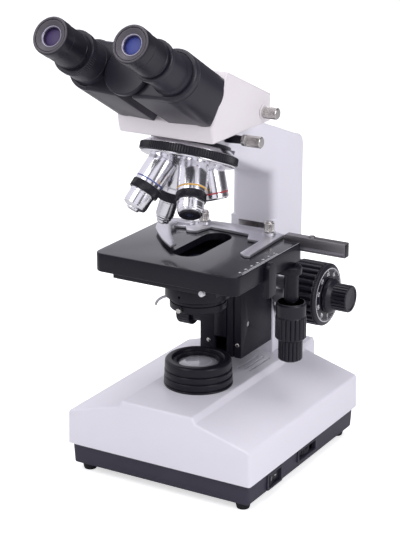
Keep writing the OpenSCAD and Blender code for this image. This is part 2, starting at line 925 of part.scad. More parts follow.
// Sheet metal holder for the slide, screwed to the rail
module slide_holder() {
  color(CHROME)
    difference() {
      union() {
        translate([0, 0, holder_z])
          linear_extrude(holder_t)
            polygon([
              [50.6, 61.9], [53.6, -5.3], [49, -7], [42.8, -2.6], [40.7, 34.8], [29.3, 34.2],
              [23.2, 47.6], [-17.1, 50.1], [-20.6, 32.8], [-30.1, 30.5], [-36.7, 39.9],
              [-47, 37.1], [-44, 50], [-33, 64.5], [-13.3, 67.3], [24.5, 69]
            ]);
        for (x = holder_screw_x)
          post(6, holder_z, holder_z + holder_t + 2.2, x, holder_screw_y);
        post(3.6, holder_z, holder_z + holder_t, finger_pivot[0], finger_pivot[1], 32);
        post(2, holder_z, holder_z + holder_t + 3.6, finger_pivot[0], finger_pivot[1], 32);
      }
      for (x = holder_screw_x)
        post(2.6 + run_gap, holder_z - 1, holder_z + holder_t + 4, x, holder_screw_y, 32);
    }
}

// Curved finger that presses the slide against the holder
module slide_finger() {
  z = holder_z + holder_t + 0.2;
  color(CHROME)
    difference() {
      translate([0, 0, z])
        linear_extrude(2)
          polygon([
            [-62, 40], [-59, 27], [-54, 17], [-47, 8.5], [-40, 1], [-32, -7.5], [-24, -14.5],
            [-14.7, -22], [-13, -15], [-20, -7], [-27.5, 2], [-34, 11], [-40, 21], [-46, 31],
            [-46.5, 41], [-41, 42.8], [-34, 43], [-32.4, 46], [-32.6, 50], [-36, 52.8],
            [-44, 52.8], [-54, 50.5], [-60, 46]
          ]);
      post(2 + run_gap, z - 1, z + 3, finger_pivot[0], finger_pivot[1], 32);
    }
}

// Thumb screw of the slide holder
module holder_screw(x) {
  z = holder_z + holder_t + 2.4;
  color(STEEL)
    translate([x, holder_screw_y, 0]) {
      post(2.6, holder_z + 0.2, z + 1, sides = 32);
      knurled(4.6, z, z + 8, 18, 0.5);
      post(3.6, z + 7, z + 9.5);
    }
}

module holder_screw_left() {
  holder_screw(holder_screw_x[0]);
}

module holder_screw_right() {
  holder_screw(holder_screw_x[1]);
}

// Slide and ring that hold the condenser, with a rack facing the column's pinion
module condenser_slide() {
  y0 = column_front;
  low = ceil((cond_z - 50 - cond_knob_z) / tooth_pitch);
  high = floor((cond_z + cond_h - 2 - cond_knob_z) / tooth_pitch);
  color(BLACK)
    difference() {
      union() {
        post(cond_r, cond_z, cond_z + cond_h, sides = 96);
        block([-10, cond_r - 6, cond_z], [10, y0 - 0.3, cond_z + cond_h]);
        block([-6, y0 - 1, cond_z - 52], [6, y0 + 4, cond_z + cond_h]);
        block([-10, y0 + 3.8, cond_z - 52], [10, y0 + 7, cond_z + cond_h]);
        across(rack_outline(rack2_line, cond_knob_z, low, high, rack2_line - 3), 3);
      }
      post(cond_in, cond_z - 1, cond_z + cond_h + 1, sides = 96);
      bar_y(1.2, -cond_r - 2, -cond_in + 4, -2, cond_z + 4.5, 24);
    }
}

// Condenser's height knob on the left, with its pinion in the column
module condenser_knob() {
  h = column_half;
  color(STEEL) {
    bar_x(2.5, -h - 20, h - 0.5, pinion_y, cond_knob_z);
    bar_x(6, -h - 14, -h - 1, pinion_y, cond_knob_z, 48);
    translate([-5, pinion_y, cond_knob_z])
      rotate([0, 90, 0])
        rotate([0, 0, -90])
          linear_extrude(10)
            polygon(pinion_outline(13, pinion2_r));
  }
  color(BLACK)
    translate([-h - 14, pinion_y, cond_knob_z])
      rotate([0, -90, 0])
        knurled(10.6, 0, 14, 18, 0.9);
}

module condenser_body() {
  color(BLACK)
    difference() {
      union() {
        post(iris_r, cond_z - iris_h, cond_z, sides = 96);
        post(cond_in - run_gap, cond_z - 1, cond_z + cond_h + 1, sides = 96);
        translate([0, 0, cond_z + cond_h + 1])
          cylinder(r1 = 22, r2 = 15, h = 10, $fn = 96);
        post(13, cond_z + cond_h + 10, cond_z + 32, sides = 96);
      }
      post(9, cond_z - 13, cond_z + 27);
      post(10.5, cond_z + 26, cond_z + 33);
      // Groove of the iris ring
      ring(iris_r + 1, iris_r - 4, cond_z - 5, cond_z - 1.5);
      // Hole of the clamp screw
      bar_y(1.3, -iris_r - 1, -iris_r + 6, -3, cond_z - 8, 32);
      // Pin hole of the filter holder
      post(2, cond_z - iris_h - 1, cond_z - iris_h + 5, filter_pin[0], filter_pin[1], 32);
    }
}

module condenser_lens() {
  z = cond_z + 26;
  color(GLASS)
    translate([0, 0, z])
      rotate_extrude($fn = 64)
        polygon([[0, 0], [10.4, 0], [10.4, 5], [9, 6.2], [6, 7.3], [3, 7.9], [0, 8]]);
}

// Ring and lever that open the condenser's iris
module iris_lever() {
  z = cond_z - 4.6;
  color(BLACK) {
    ring(iris_r - 0.5, iris_r - 4 + air_gap, z, z + 2.7);
    rotate([0, 0, 200]) {
      block([iris_r - 2, -1.3, z], [iris_r + 3, 1.3, z + 2.7]);
      block([iris_r + 1, -1.3, z - 2.5], [iris_r + 9, 1.3, z + 1.2]);
      block([iris_r + 7, -1.3, z - 6], [iris_r + 12, 1.3, z - 0.8]);
      block([iris_r + 10, -1.3, z - 9.5], [iris_r + 14.5, 1.3, z - 4]);
    }
  }
}

// Swing-out ring for a loose filter, on a pin under the condenser
module filter_holder() {
  z = cond_z - iris_h - 0.4;
  c = filter_rest;
  color(BLACK)
    difference() {
      union() {
        post(12, z - 4, z, c[0], c[1], 64);
        post(4, z - 4, z, filter_pin[0], filter_pin[1], 32);
        translate([filter_pin[0], filter_pin[1], z - 4])
          rotate([0, 0, atan2(c[1] - filter_pin[1], c[0] - filter_pin[0])])
            translate([0, -3.5, 0.5])
              cube([9, 7, 3]);
        post(2 - run_gap, z - 3, z + 5, filter_pin[0], filter_pin[1], 32);
      }
      post(10.5, z - 2.8, z + 1, c[0], c[1], 64);
      post(9, z - 5, z - 2, c[0], c[1], 64);
    }
}

module condenser_screw() {
  color(CHROME)
    translate([-3, -iris_r + 6, cond_z - 8])
      rotate([90, 0, 0]) {
        cylinder(r = 1.3 - run_gap, h = 8, $fn = 32);
        translate([0, 0, 6.4])
          knurled(2.4, 0, 3.6, 14, 0.3);
      }
}

// Fixed plate and spindle of the nosepiece
module nosepiece_mount() {
  color(BLACK)
    difference() {
      in_nose() {
        translate([0, 0, 30])
          cylinder(r = nose_r - 8, h = 3, $fn = 96);
        translate([0, 0, 32])
          cylinder(r = spindle_r, h = 21, $fn = 48);
      }
      post(100, head_z - 0.8, head_z + 30);
      post(plug_r + run_gap, seat_floor, head_z);
      post(8.5, nose_apex - 57.5, nose_apex);
    }
}

// Turning part of the nosepiece, with four threaded seats
module nosepiece() {
  color(BLACK)
    difference() {
      in_nose()
        knurled(nose_r, 37.5, 44.5, 40, 0.9);
      nose_bores();
    }
  color(CHROME)
    difference() {
      union() {
        in_nose() {
          translate([0, 0, 33.3])
            cylinder(r1 = nose_r - 7, r2 = nose_r - 2, h = 4.2, $fn = 96);
          translate([0, 0, 37.5])
            cylinder(r = nose_r - 5, h = 7, $fn = 96);
          translate([0, 0, 44.5])
            cylinder(r = nose_r - 1.5, h = 2.5, $fn = 96);
          translate([0, 0, 47])
            cylinder(r1 = nose_r - 12, r2 = 8, h = 8.4, $fn = 96);
        }
        for (i = [0 : 3])
          in_objective(i)
            translate([0, 0, seat_s - 7])
              cylinder(r = lens_r + 0.2, h = 7, $fn = 64);
      }
      nose_bores();
    }
}

module nose_bores() {
  in_nose()
    translate([0, 0, 20])
      cylinder(r = spindle_r + run_gap, h = 50, $fn = 48);
  for (i = [0 : 3])
    in_objective(i) {
      translate([0, 0, 25])
        cylinder(r = 8, h = 40, $fn = 48);
      translate([0, 0, seat_s])
        cylinder(r = lens_r + run_gap, h = 9, $fn = 64);
    }
}

// Chrome barrel, colour band, knurled ring and lens end of a long objective
module objective(i, tip, band, band_at, grip_at, low_r) {
  l = tip - seat_s;
  grip_l = l * 0.15;
  in_objective(i)
    translate([0, 0, seat_s]) {
      color(CHROME)
        difference() {
          union() {
            translate([0, 0, -4])
              cylinder(r = 8 - run_gap, h = 5, $fn = 48);
            cylinder(r = lens_r, h = l * grip_at, $fn = 64);
            translate([0, 0, l * grip_at + grip_l])
              cylinder(r = low_r, h = l * (0.91 - grip_at) - grip_l, $fn = 64);
            translate([0, 0, l * 0.91])
              cylinder(r1 = low_r, r2 = 5.5, h = l * 0.04, $fn = 64);
            translate([0, 0, l * 0.95])
              cylinder(r = 5.5, h = l * 0.05, $fn = 64);
          }
          translate([0, 0, -5])
            cylinder(r = 5, h = l + 3, $fn = 48);
          translate([0, 0, l - 2.5])
            cylinder(r = 3.5, h = 5, $fn = 32);
        }
      color(BLACK)
        difference() {
          translate([0, 0, l * grip_at])
            knurled(lens_r + 0.1, 0, grip_l, 30, 0.6);
          cylinder(r = 5, h = l, $fn = 48);
        }
      color(band)
        difference() {
          translate([0, 0, l * band_at])
            cylinder(r = lens_r + 0.15, h = 2.5, $fn = 64);
          cylinder(r = lens_r - 1, h = l, $fn = 64);
        }
    }
}

module objective_4x() {
  l = tips[0] - seat_s;
  in_objective(0)
    translate([0, 0, seat_s]) {
      color(CHROME)
        difference() {
          union() {
            translate([0, 0, -4])
              cylinder(r = 8 - run_gap, h = 5, $fn = 48);
            cylinder(r = lens_r, h = l - 1.5, $fn = 64);
            translate([0, 0, l - 1.5])
              cylinder(r1 = lens_r, r2 = lens_r - 2, h = 1.5, $fn = 64);
          }
          translate([0, 0, -5])
            cylinder(r = 6.5, h = l + 7, $fn = 48);
        }
      color([0.75, 0.12, 0.12])
        difference() {
          translate([0, 0, l - 7])
            cylinder(r = lens_r + 0.15, h = 2.5, $fn = 64);
          cylinder(r = lens_r - 1, h = l, $fn = 64);
        }
    }
}

module objective_10x() {
  objective(1, tips[1], [0.85, 0.7, 0.1], 0.47, 0.57, lens_r - 1.5);
}

module objective_40x() {
  objective(2, tips[2], [0.15, 0.35, 0.75], 0.41, 0.5, lens_r - 2);
}

module objective_100x() {
  objective(3, tips[3], [0.9, 0.9, 0.9], 0.22, 0.4, lens_r - 4.5);
}

// Front lenses of the four objectives
module objective_lenses() {
  color(GLASS) {
    in_objective(0)
      translate([0, 0, tips[0] - 4])
        cylinder(r = 6.45, h = 2.5, $fn = 48);
    for (i = [1 : 3])
      in_objective(i)
        translate([0, 0, tips[i] - 2.2])
          cylinder(r = 3.45, h = 2, $fn = 32);
  }
}

// Screw that clamps the head in its seat
module head_clamp_screw() {
  color(BLACK) {
    bar_x(2.5 - run_gap, plug_r + 0.4, seat_r + 1, 0, clamp_z, 32);
    bar_x(4, seat_r + 0.4, 43.5, 0, clamp_z, 48);
  }
  color(CHROME)
    translate([43, 0, clamp_z])
      rotate([0, 90, 0])
        knurled(4.9, 0, 18, 20, 0.6);
}

// Head: hollow casting with its round plug in the arm's seat
module head_body() {
  h = head_half;
  color(WHITE)
    difference() {
      union() {
        intersection() {
          across([
            [-52, head_z], [50, head_z], [50, head_z + 17], [45.4, head_z + 23.3],
            [head_front(30) + 2, hinge_z + 25.9], [head_front(30), head_front_z(30)],
            [head_front(-17), head_front_z(-17)], [-54, head_z + 8]
          ], h);
          head_plan();
        }
        post(seat_r, seat_top + 0.2, head_z + 1, sides = 96);
        post(plug_r, seat_floor + 0.3, seat_top + 1, sides = 96);
      }
      intersection() {
        across([
          [-44, head_z + 4], [44, head_z + 4], [44, head_z + 15], [38, head_z + 22],
          [-28, hinge_z + 18.3], [-46, head_z + 18]
        ], h - 5);
        block([-h, -100, 0], [h, 100, 400]);
      }
      post(light_r, seat_floor - 1, head_z + 5);
      in_head() {
        translate([0, 0, -30])
          cylinder(r = axle_r, h = 31, $fn = 48);
        for (side = [-1, 1])
          rotate([0, 0, side * swing_rest])
            translate([side * swing_r, 0, -14])
              cylinder(r = 7, h = 15, $fn = 48);
      }
      bar_x(2.5, h - 6, h + 1, 28, head_z + 11, 32);
    }
}

// Points of the head's slanted front, q along it from the hinge axis
function head_front(q) = hinge_y + q * sin(tube_tilt);
function head_front_z(q) = hinge_z + q * cos(tube_tilt);

module head_plan() {
  h = head_half;
  translate([0, 0, head_z - 1])
    linear_extrude(70)
      union() {
        translate([-h, -80])
          square([2 * h, 80 + 50 - 12]);
        translate([-h + 12, -80])
          square([2 * h - 24, 130]);
        for (side = [-1, 1])
          translate([side * (h - 12), 50 - 12])
            circle(r = 12, $fn = 48);
      }
}

// Beam splitter inside the head, on its table
module head_prism() {
  color(GLASS)
    translate([0, 0, head_z + 4])
      across([[-14, 0], [14, 0], [14, 14], [-14, 26]], 12);
}

module head_side_screw() {
  h = head_half;
  color(WHITE)
    bar_x(6, h + 0.2, h + 1.4, 28, head_z + 11);
  color(CHROME) {
    bar_x(2.5 - run_gap, h - 5.5, h + 1, 28, head_z + 11, 32);
    translate([h + 1.2, 28, head_z + 11])
      rotate([0, 90, 0])
        knurled(5, 0, 14.8, 18, 0.6);
  }
}

// Axle that both eye tubes swing on, with its round front cap
module hinge_bracket() {
  color(BLACK)
    in_head()
      union() {
        translate([0, 0, -30])
          cylinder(r = axle_r, h = 30 + cap_t + 2, $fn = 48);
        translate([0, 0, cap_t + 0.5])
          cylinder(r = cap_r, h = 5, $fn = 96);
      }
}

// Prism housing of one eye, with its hub at z0 on the axle and its tube
module housing(side, z0, z1) {
  color(DARK)
    difference() {
      union() {
        in_head() {
          translate([0, 0, 0.5])
            linear_extrude(cap_t - 0.5)
              polygon([
                [side * 37, 25.2], [side * 20.2, 25.2], [side * 4.2, 4.7], [side * 3, 3],
                [side * 3, -8], [side * 6, -16.5], [side * 6, -19.4], [side * 37, -17.4]
              ]);
          translate([0, 0, z0])
            cylinder(r = hub_r, h = z1 - z0, $fn = 64);
        }
        in_tube(side) {
          translate([0, 0, 0.5])
            cylinder(r = drum_r, h = lid_z - 1.3, $fn = 96);
          translate([0, 0, 0.5])
            cylinder(r = drum_r - 0.6, h = lid_z + 1, $fn = 96);
          translate([0, 0, lid_z])
            cylinder(r = drum_r, h = cap_t - 1 - lid_z, $fn = 96);
          translate([0, 0, cap_t - 2])
            cylinder(r = 15, h = drum_l + 19 - cap_t - seat_drop(side), $fn = 64);
        }
      }
      in_head() {
        translate([0, 0, -1])
          cylinder(r = axle_r + run_gap, h = 200, $fn = 48);
        translate([0, 0, cap_t + 0.1])
          cylinder(r = cap_r + 0.5, h = 60, $fn = 96);
        translate([0, 0, z0 > 20 ? 0 : z1])
          cylinder(r = hub_r + 0.5, h = z0 > 20 ? z0 : cap_t - z1 + 1, $fn = 64);
        cylinder(r = hub_r + 0.5, h = z0 > 20 ? 1 : z0, $fn = 64);
      }
      in_tube(side) {
        translate([0, 0, -1])
          cylinder(r = 5, h = 19, $fn = 64);
        translate([0, 0, 17])
          cylinder(r = 14.5, h = cap_t - 21, $fn = 64);
        translate([0, 0, cap_t - 5])
          cylinder(r = sleeve_r + run_gap, h = drum_l - cap_t + 35, $fn = 64);
      }
      // The drum's foot is cut off at a slant beyond the head's side
      in_head()
        translate([0, 40, 0])
          rotate([90, 0, 0])
            linear_extrude(80)
              polygon([
                [side * (head_half - 3.3), -1], [side * (head_half + 10.9), 18.1],
                [side * (head_half + 40), 18.1], [side * (head_half + 40), -1]
              ]);
    }
}

module housing_right() {
  housing(1, 1, 38);
  color(DARK)
    in_tube(1) {
      ring(neck_r, 14.9, cap_t - 1.5, drum_l + 13);
      ring(neck_r + 1.1, 14.9, drum_l + 12.5, drum_l + 17);
    }
}

module housing_left() {
  housing(-1, 39, 67.5);
  color(DARK)
    in_tube(-1)
      ring(neck_r + 1, 14.9, cap_t - 1.5, cap_t + 5.7);
}

// Ring on the left tube that evens out the difference between the eyes
module dioptre_ring() {
  color(BLACK)
    in_tube(-1)
      translate([0, 0, cap_t + 6])
        difference() {
          union() {
            cylinder(r = neck_r + 1.4, h = 17 - left_drop, $fn = 96);
            translate([0, 0, 17 - left_drop])
              knurled(neck_r + 2.1, 0, 7.4, 36, 0.5);
          }
          translate([0, 0, -1])
            cylinder(r = 15 + run_gap, h = 27, $fn = 64);
        }
}

// Eyepiece: sleeve in the tube, barrel and hollow for the eye lens
module eyepiece(side) {
  z = drum_l + 18 - seat_drop(side);
  color(BLACK)
    in_tube(side)
      difference() {
        union() {
          translate([0, 0, z - 22])
            cylinder(r = sleeve_r, h = 23, $fn = 64);
          translate([0, 0, z])
            cylinder(r = eye_r, h = eye_l - 4, $fn = 96);
          translate([0, 0, z + eye_l - 12])
            cylinder(r = eye_r + 0.25, h = 12, $fn = 96);
        }
        translate([0, 0, z - 23])
          cylinder(r = 9.5, h = eye_l + 25, $fn = 64);
        translate([0, 0, z + eye_l - 7])
          cylinder(r = 12, h = 10, $fn = 64);
      }
}

module eyepiece_left() {
  eyepiece(-1);
}

module eyepiece_right() {
  eyepiece(1);
}

module eye_lens(side) {
  color(GLASS)
    in_tube(side)
      translate([0, 0, drum_l + 11 + eye_l - seat_drop(side)])
        rotate_extrude($fn = 64)
          polygon([[0, 0], [11.9, 0], [11.9, 2], [9, 3.1], [5, 3.8], [0, 4]]);
}

module eye_lens_left() {
  eye_lens(-1);
}

module eye_lens_right() {
  eye_lens(1);
}

base_shell();
base_tray();
rubber_feet();
base_screws();
power_rocker();
brightness_wheel();
mains_inlet();
transformer();
lamp_holder();
halogen_lamp();
lamp_mirror();
collector_housing();
collector_lens();
arm();
focus_bushes();
coarse_shaft();
coarse_knobs();
fine_shaft();
fine_knobs();
tension_collar();
focus_slide();
stage_carrier();
stage_underplate();
stage_rails();
stage_plate();
guide_block();
xy_drop_tube();
y_knob();
x_knob();
x_rail();
slide_holder();
slide_finger();
holder_screw_left();
holder_screw_right();
condenser_slide();
condenser_knob();
condenser_body();
condenser_lens();
iris_lever();
filter_holder();
condenser_screw();
nosepiece_mount();
nosepiece();
objective_4x();
objective_10x();
objective_40x();
objective_100x();
objective_lenses();
head_clamp_screw();
head_body();
head_prism();
head_side_screw();
hinge_bracket();
housing_left();
housing_right();
dioptre_ring();
eyepiece_left();
eyepiece_right();
eye_lens_left();
eye_lens_right();
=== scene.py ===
import math
import bmesh
import bpy
import numpy as np
from mathutils import Matrix, Vector


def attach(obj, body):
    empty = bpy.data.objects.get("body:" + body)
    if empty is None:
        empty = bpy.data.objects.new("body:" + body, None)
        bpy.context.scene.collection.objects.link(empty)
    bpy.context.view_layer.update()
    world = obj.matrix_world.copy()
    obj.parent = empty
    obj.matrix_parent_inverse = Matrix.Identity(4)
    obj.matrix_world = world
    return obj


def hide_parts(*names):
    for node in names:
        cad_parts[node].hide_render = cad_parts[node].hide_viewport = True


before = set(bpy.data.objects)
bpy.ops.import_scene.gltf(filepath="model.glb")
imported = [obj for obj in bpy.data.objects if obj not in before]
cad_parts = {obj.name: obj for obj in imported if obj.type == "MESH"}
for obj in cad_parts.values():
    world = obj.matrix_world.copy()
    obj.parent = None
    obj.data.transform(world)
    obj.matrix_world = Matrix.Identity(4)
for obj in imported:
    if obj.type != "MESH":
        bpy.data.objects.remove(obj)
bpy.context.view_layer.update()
mm = 0.001
mesher = {"merge": 4e-6, "sliver": 1e-6, "sharp": 38}  # metres, metres, degrees
print("frame loaded:", len(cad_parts), "nodes")


def shift(x=0, y=0, z=0):
    # a place as a 4x4 array in millimetres, moved but not turned
    place = np.eye(4)
    place[:3, 3] = (x, y, z)
    return place


def turn(axis, degrees):
    return np.array(Matrix.Rotation(math.radians(degrees), 4, axis))


def axes(origin, ahead, side):
    # a place whose z runs ahead and whose x runs as near to side as it can
    z = np.array(ahead, float)
    z /= np.linalg.norm(z)
    x = np.array(side, float)
    x -= z * (x @ z)
    x /= np.linalg.norm(x)
    place = shift(*origin)
    place[:3, 0], place[:3, 1], place[:3, 2] = x, np.cross(z, x), z
    return place


def along(axis):
    # an outline's plane: along x its two numbers are Y and Z, along y they are X and Z
    place = np.eye(4)
    if axis == "x":
        place[:3, :3] = [[0, 0, 1], [1, 0, 0], [0, 1, 0]]
    else:
        place[:3, :3] = [[1, 0, 0], [0, 0, -1], [0, 1, 0]]
    return place


def addObject(name, mesh):
    obj = bpy.data.objects.new(name, mesh)
    bpy.context.scene.collection.objects.link(obj)
    return obj


def applyModifier(obj, modifier):
    bpy.context.view_layer.objects.active = obj
    bpy.ops.object.modifier_apply(modifier=modifier.name)


def smoothFaces(mesh):
    mesh.polygons.foreach_set("use_smooth", np.ones(len(mesh.polygons), bool))
    mesh.set_sharp_from_angle(angle=math.radians(mesher["sharp"]))


def joinPieces(name, pieces):
    # one object from several, each with its own material
    for obj in bpy.context.selected_objects:
        obj.select_set(False)
    for obj in pieces:
        obj.select_set(True)
    bpy.context.view_layer.objects.active = pieces[0]
    if len(pieces) > 1:
        bpy.ops.object.join()
    pieces[0].name = pieces[0].data.name = name
    return pieces[0]


def wrapMesh(mesh, uv, a, b, a2, b2, closeRows, closeColumns):
    # the wrap: round the piece by its first number and along its profile by its second
    across, down = uv
    right = across[b + 1] if closeColumns else across[b2]
    lower = down[a + 1] if closeRows else down[a2]
    body = np.stack([np.stack([across[b], right, right, across[b]], -1),
                     np.stack([down[a], down[a], lower, lower], -1)], -1).reshape(-1, 2)
    coords = np.zeros((len(mesh.loops), 2))
    coords[:len(body)] = body
    layer = mesh.uv_layers.new(name="wrap")
    layer.data.foreach_set("uv", coords.astype(np.float32).ravel())


def meshFromGrid(name, points, closeRows, closeColumns, fillEnds, uv, place):
    # points is rows x columns x 3: each cell of the grid becomes a face, the ends may be filled
    rows, columns = points.shape[:2]
    flat = points.reshape(-1, 3)
    flat = (flat @ place[:3, :3].T + place[:3, 3]) * mm
    r = np.arange(rows if closeRows else rows - 1)
    c = np.arange(columns if closeColumns else columns - 1)
    a, b = np.meshgrid(r, c, indexing="ij")
    a2, b2 = (a + 1) % rows, (b + 1) % columns
    quads = np.stack([a * columns + b, a * columns + b2, a2 * columns + b2, a2 * columns + b], -1)
    faces = quads.reshape(-1, 4).tolist()
    if fillEnds:
        faces.append(list(range(columns))[::-1])
        faces.append(list(range((rows - 1) * columns, rows * columns)))
    mesh = bpy.data.meshes.new(name)
    mesh.from_pydata(flat.tolist(), [], faces)
    if uv is not None:
        wrapMesh(mesh, uv, a, b, a2, b2, closeRows, closeColumns)
    work = bmesh.new()
    work.from_mesh(mesh)
    bmesh.ops.remove_doubles(work, verts=work.verts, dist=mesher["merge"])
    bmesh.ops.dissolve_degenerate(work, edges=work.edges, dist=mesher["sliver"])
    bmesh.ops.recalc_face_normals(work, faces=work.faces)
    work.to_mesh(mesh)
    work.free()
    smoothFaces(mesh)
    return addObject(name, mesh)


def softCorners(corners, radius, closed=True, steps=4):
    # each corner becomes an arc: the point runs from one tangent point to the other on a quadratic
    # curve whose control point is the corner; a corner's third number is its own radius
    p = np.array([q[:2] for q in corners], float)
    own = np.array([q[2] if len(q) > 2 else radius for q in corners], float)
    before, after = np.roll(p, 1, 0) - p, np.roll(p, -1, 0) - p
    lb, la = np.linalg.norm(before, axis=1), np.linalg.norm(after, axis=1)
    cosine = np.clip((before * after).sum(1) / np.maximum(lb * la, 1e-9), -1, 1)
    half = np.arccos(cosine) / 2
    back = np.minimum(own / np.tan(np.maximum(half, 1e-3)), 0.48 * np.minimum(lb, la))
    back = np.where(half > 1.5, 0, back)
    start = p + before / np.maximum(lb, 1e-9)[:, None] * back[:, None]
    end = p + after / np.maximum(la, 1e-9)[:, None] * back[:, None]
    t = np.linspace(0, 1, steps + 1)[None, :, None]
    arc = (1 - t) ** 2 * start[:, None] + 2 * t * (1 - t) * p[:, None] + t ** 2 * end[:, None]
    if not closed:
        arc[0], arc[-1] = p[0], p[-1]
    flat = arc.reshape(-1, 2)
    keep = np.ones(len(flat), bool)
    keep[1:] = np.linalg.norm(np.diff(flat, axis=0), axis=1) > 1e-4
    if closed and np.linalg.norm(flat[0] - flat[-1]) < 1e-4:
        keep[-1] = False
    return flat[keep]


def splitAtHeights(corners, heights):
    # the profile with a point more wherever it crosses one of the heights away from the axis
    line = [corners[0]]
    for p, q in zip(corners[:-1], corners[1:]):
        inside = [z for z in heights if (p[1] - z) * (q[1] - z) < -1e-9 and min(p[0], q[0]) > 1]
        inside.sort(reverse=bool(q[1] < p[1]))
        line += [p + (q - p) * (z - p[1]) / (q[1] - p[1]) for z in inside] + [q]
    return np.array(line)


def turned(name, profile, place, soft=0.3, sides=96, flutes=()):
    # a profile of (radius, height) turned about the place's z: the point is (r cos a, r sin a, h), and
    # a profile that starts off the axis is closed. Flutes take depth * ((1 - cos(count a)) / 2) ** power
    # off r from z0 to z1, where r is past inner, and fade in and out over run
    loop = profile[0][0] > 0
    corners = softCorners(profile, soft, closed=loop)
    if flutes:
        ends = [(f["z0"], f["z0"] + f["run"], f["z1"] - f["run"], f["z1"]) for f in flutes]
        corners = splitAtHeights(corners, [z for heights in ends for z in heights])
        sides = max(f["count"] * f.get("steps", 6) for f in flutes)
    angle = np.arange(sides) / sides * 2 * np.pi
    r = np.repeat(corners[:, :1], sides, 1)
    h = np.repeat(corners[:, 1:], sides, 1)
    for f in flutes:
        fade = np.clip((h - f["z0"]) / f["run"], 0, 1) * np.clip((f["z1"] - h) / f["run"], 0, 1)
        wave = 0.5 - 0.5 * np.cos(angle[None, :] * f["count"])
        r = r - f["depth"] * fade * (r > f["inner"]) * wave ** f.get("power", 1)
    points = np.stack([r * np.cos(angle), r * np.sin(angle), h], -1)
    length = np.concatenate([[0], np.cumsum(np.linalg.norm(np.diff(corners, axis=0), axis=1))])
    uv = (np.append(angle / (2 * np.pi), 1.0), np.append(length, length[-1] + 1))
    return meshFromGrid(name, points, loop, True, False, uv, place)


def rod(name, radius, low, high, place, soft=0.01, sides=64):
    return turned(name, [(0, low), (radius, low), (radius, high), (0, high)], place, soft, sides)


def slab(name, outline, low, high, place, corner=1.0, edge=0.6, taper=0.0, steps=3, arc=4):
    # an outline raised from low to high: every ring is the sharp outline drawn in by an inset, which
    # follows a quarter circle at both rims, and then its corners are rounded by what is left of their
    # radius; a corner's third number is its radius and its fourth the roundness of its rims
    p = np.array([q[:2] for q in outline], float)
    if (p[:, 0] * np.roll(p[:, 1], -1) - np.roll(p[:, 0], -1) * p[:, 1]).sum() < 0:
        return slab(name, outline[::-1], low, high, place, corner, edge, taper, steps, arc)
    radius = np.array([q[2] if len(q) > 2 else corner for q in outline], float)
    rim = np.array([q[3] if len(q) > 3 else edge for q in outline], float)
    forward = np.roll(p, -1, 0) - p
    forward /= np.linalg.norm(forward, axis=1)[:, None]
    behind = np.roll(forward, 1, 0)
    normal = np.stack([forward[:, 1], -forward[:, 0]], 1)
    mitre = normal + np.roll(normal, 1, 0)
    mitre /= np.maximum((mitre * normal).sum(1), 0.35)[:, None]
    t = np.linspace(0, np.pi / 2, steps + 1)
    inset = np.concatenate([1 - np.sin(t), 1 - np.cos(t)])[:, None] * rim
    height = np.concatenate([low + np.outer(1 - np.cos(t), rim), high - np.outer(1 - np.sin(t), rim)])
    inset = inset + taper * (height - low) / (high - low)
    q = p[None] - mitre[None] * inset[..., None]
    before, after = np.roll(q, 1, 1) - q, np.roll(q, -1, 1) - q
    lb, la = np.linalg.norm(before, axis=2), np.linalg.norm(after, axis=2)
    half = np.arccos(np.clip((before * after).sum(2) / (lb * la), -1, 1)) / 2
    bulging = (behind[:, 0] * forward[:, 1] - behind[:, 1] * forward[:, 0]) > 0
    left = np.maximum(radius[None] + np.where(bulging, -1, 1) * inset, 0)
    back = np.minimum(left / np.tan(np.maximum(half, 1e-3)), 0.49 * np.minimum(lb, la))
    back = np.where(half > 1.52, 0, back)[..., None, None]
    s = np.linspace(0, 1, arc + 1)[None, None, :, None]
    start = q[:, :, None] + (before / lb[..., None])[:, :, None] * back
    end = q[:, :, None] + (after / la[..., None])[:, :, None] * back
    curve = (1 - s) ** 2 * start + 2 * s * (1 - s) * q[:, :, None] + s ** 2 * end
    lift = np.repeat(height[:, :, None], arc + 1, 2)[..., None]
    points = np.concatenate([curve, lift], -1).reshape(len(height), -1, 3)
    return meshFromGrid(name, points, False, True, True, None, place)


def rectangle(x0, y0, x1, y1):
    return [(x0, y0), (x1, y0), (x1, y1), (x0, y1)]


def mirrored(right):
    # the whole outline from its half on the right: each corner is repeated at -x
    left = [(-q[0],) + tuple(q[1:]) for q in right]
    return left[:1] + right + left[:0:-1]


def brick(name, low, high, edge=0.0):
    # a box between two corners, with broken edges where edge is given
    return slab(name, rectangle(low[0], low[1], high[0], high[1]), low[2], high[2], shift(),
                corner=edge, edge=max(edge, 0.001), steps=2 if edge else 1)


def cutter(outline, low, high, place, corner=0, arc=4):
    # a sharp-rimmed slab that is cut out of a piece or keeps what it shares with it
    return slab("cutter", outline, low, high, place, corner=corner, edge=0.01, steps=1, arc=arc)


def tube(name, path, radius, sides=24):
    # a round section carried along a path: the ring's two directions are square to the path
    ahead = np.gradient(path, axis=0)
    ahead /= np.linalg.norm(ahead, axis=1)[:, None]
    up = np.cross(ahead, np.array([0.02, 0.03, 1.0]))
    up /= np.linalg.norm(up, axis=1)[:, None]
    out = np.cross(ahead, up)
    a = np.arange(sides) / sides * 2 * np.pi
    ring = up[:, None] * np.cos(a)[None, :, None] + out[:, None] * np.sin(a)[None, :, None]
    return meshFromGrid(name, path[:, None] + ring * radius, False, True, True, None, np.eye(4))


def unite(obj, others, way="UNION"):
    # melts each of the others into the piece, or cuts it out, for good
    for other in others:
        tool = obj.modifiers.new("unite", "BOOLEAN")
        tool.operation, tool.solver, tool.object = way, "EXACT", other
        applyModifier(obj, tool)
        bpy.data.objects.remove(other)
    smoothFaces(obj.data)
    return obj


def combine(obj, *others):
    return unite(obj, others)


def carve(obj, *cutters):
    return unite(obj, cutters, "DIFFERENCE")


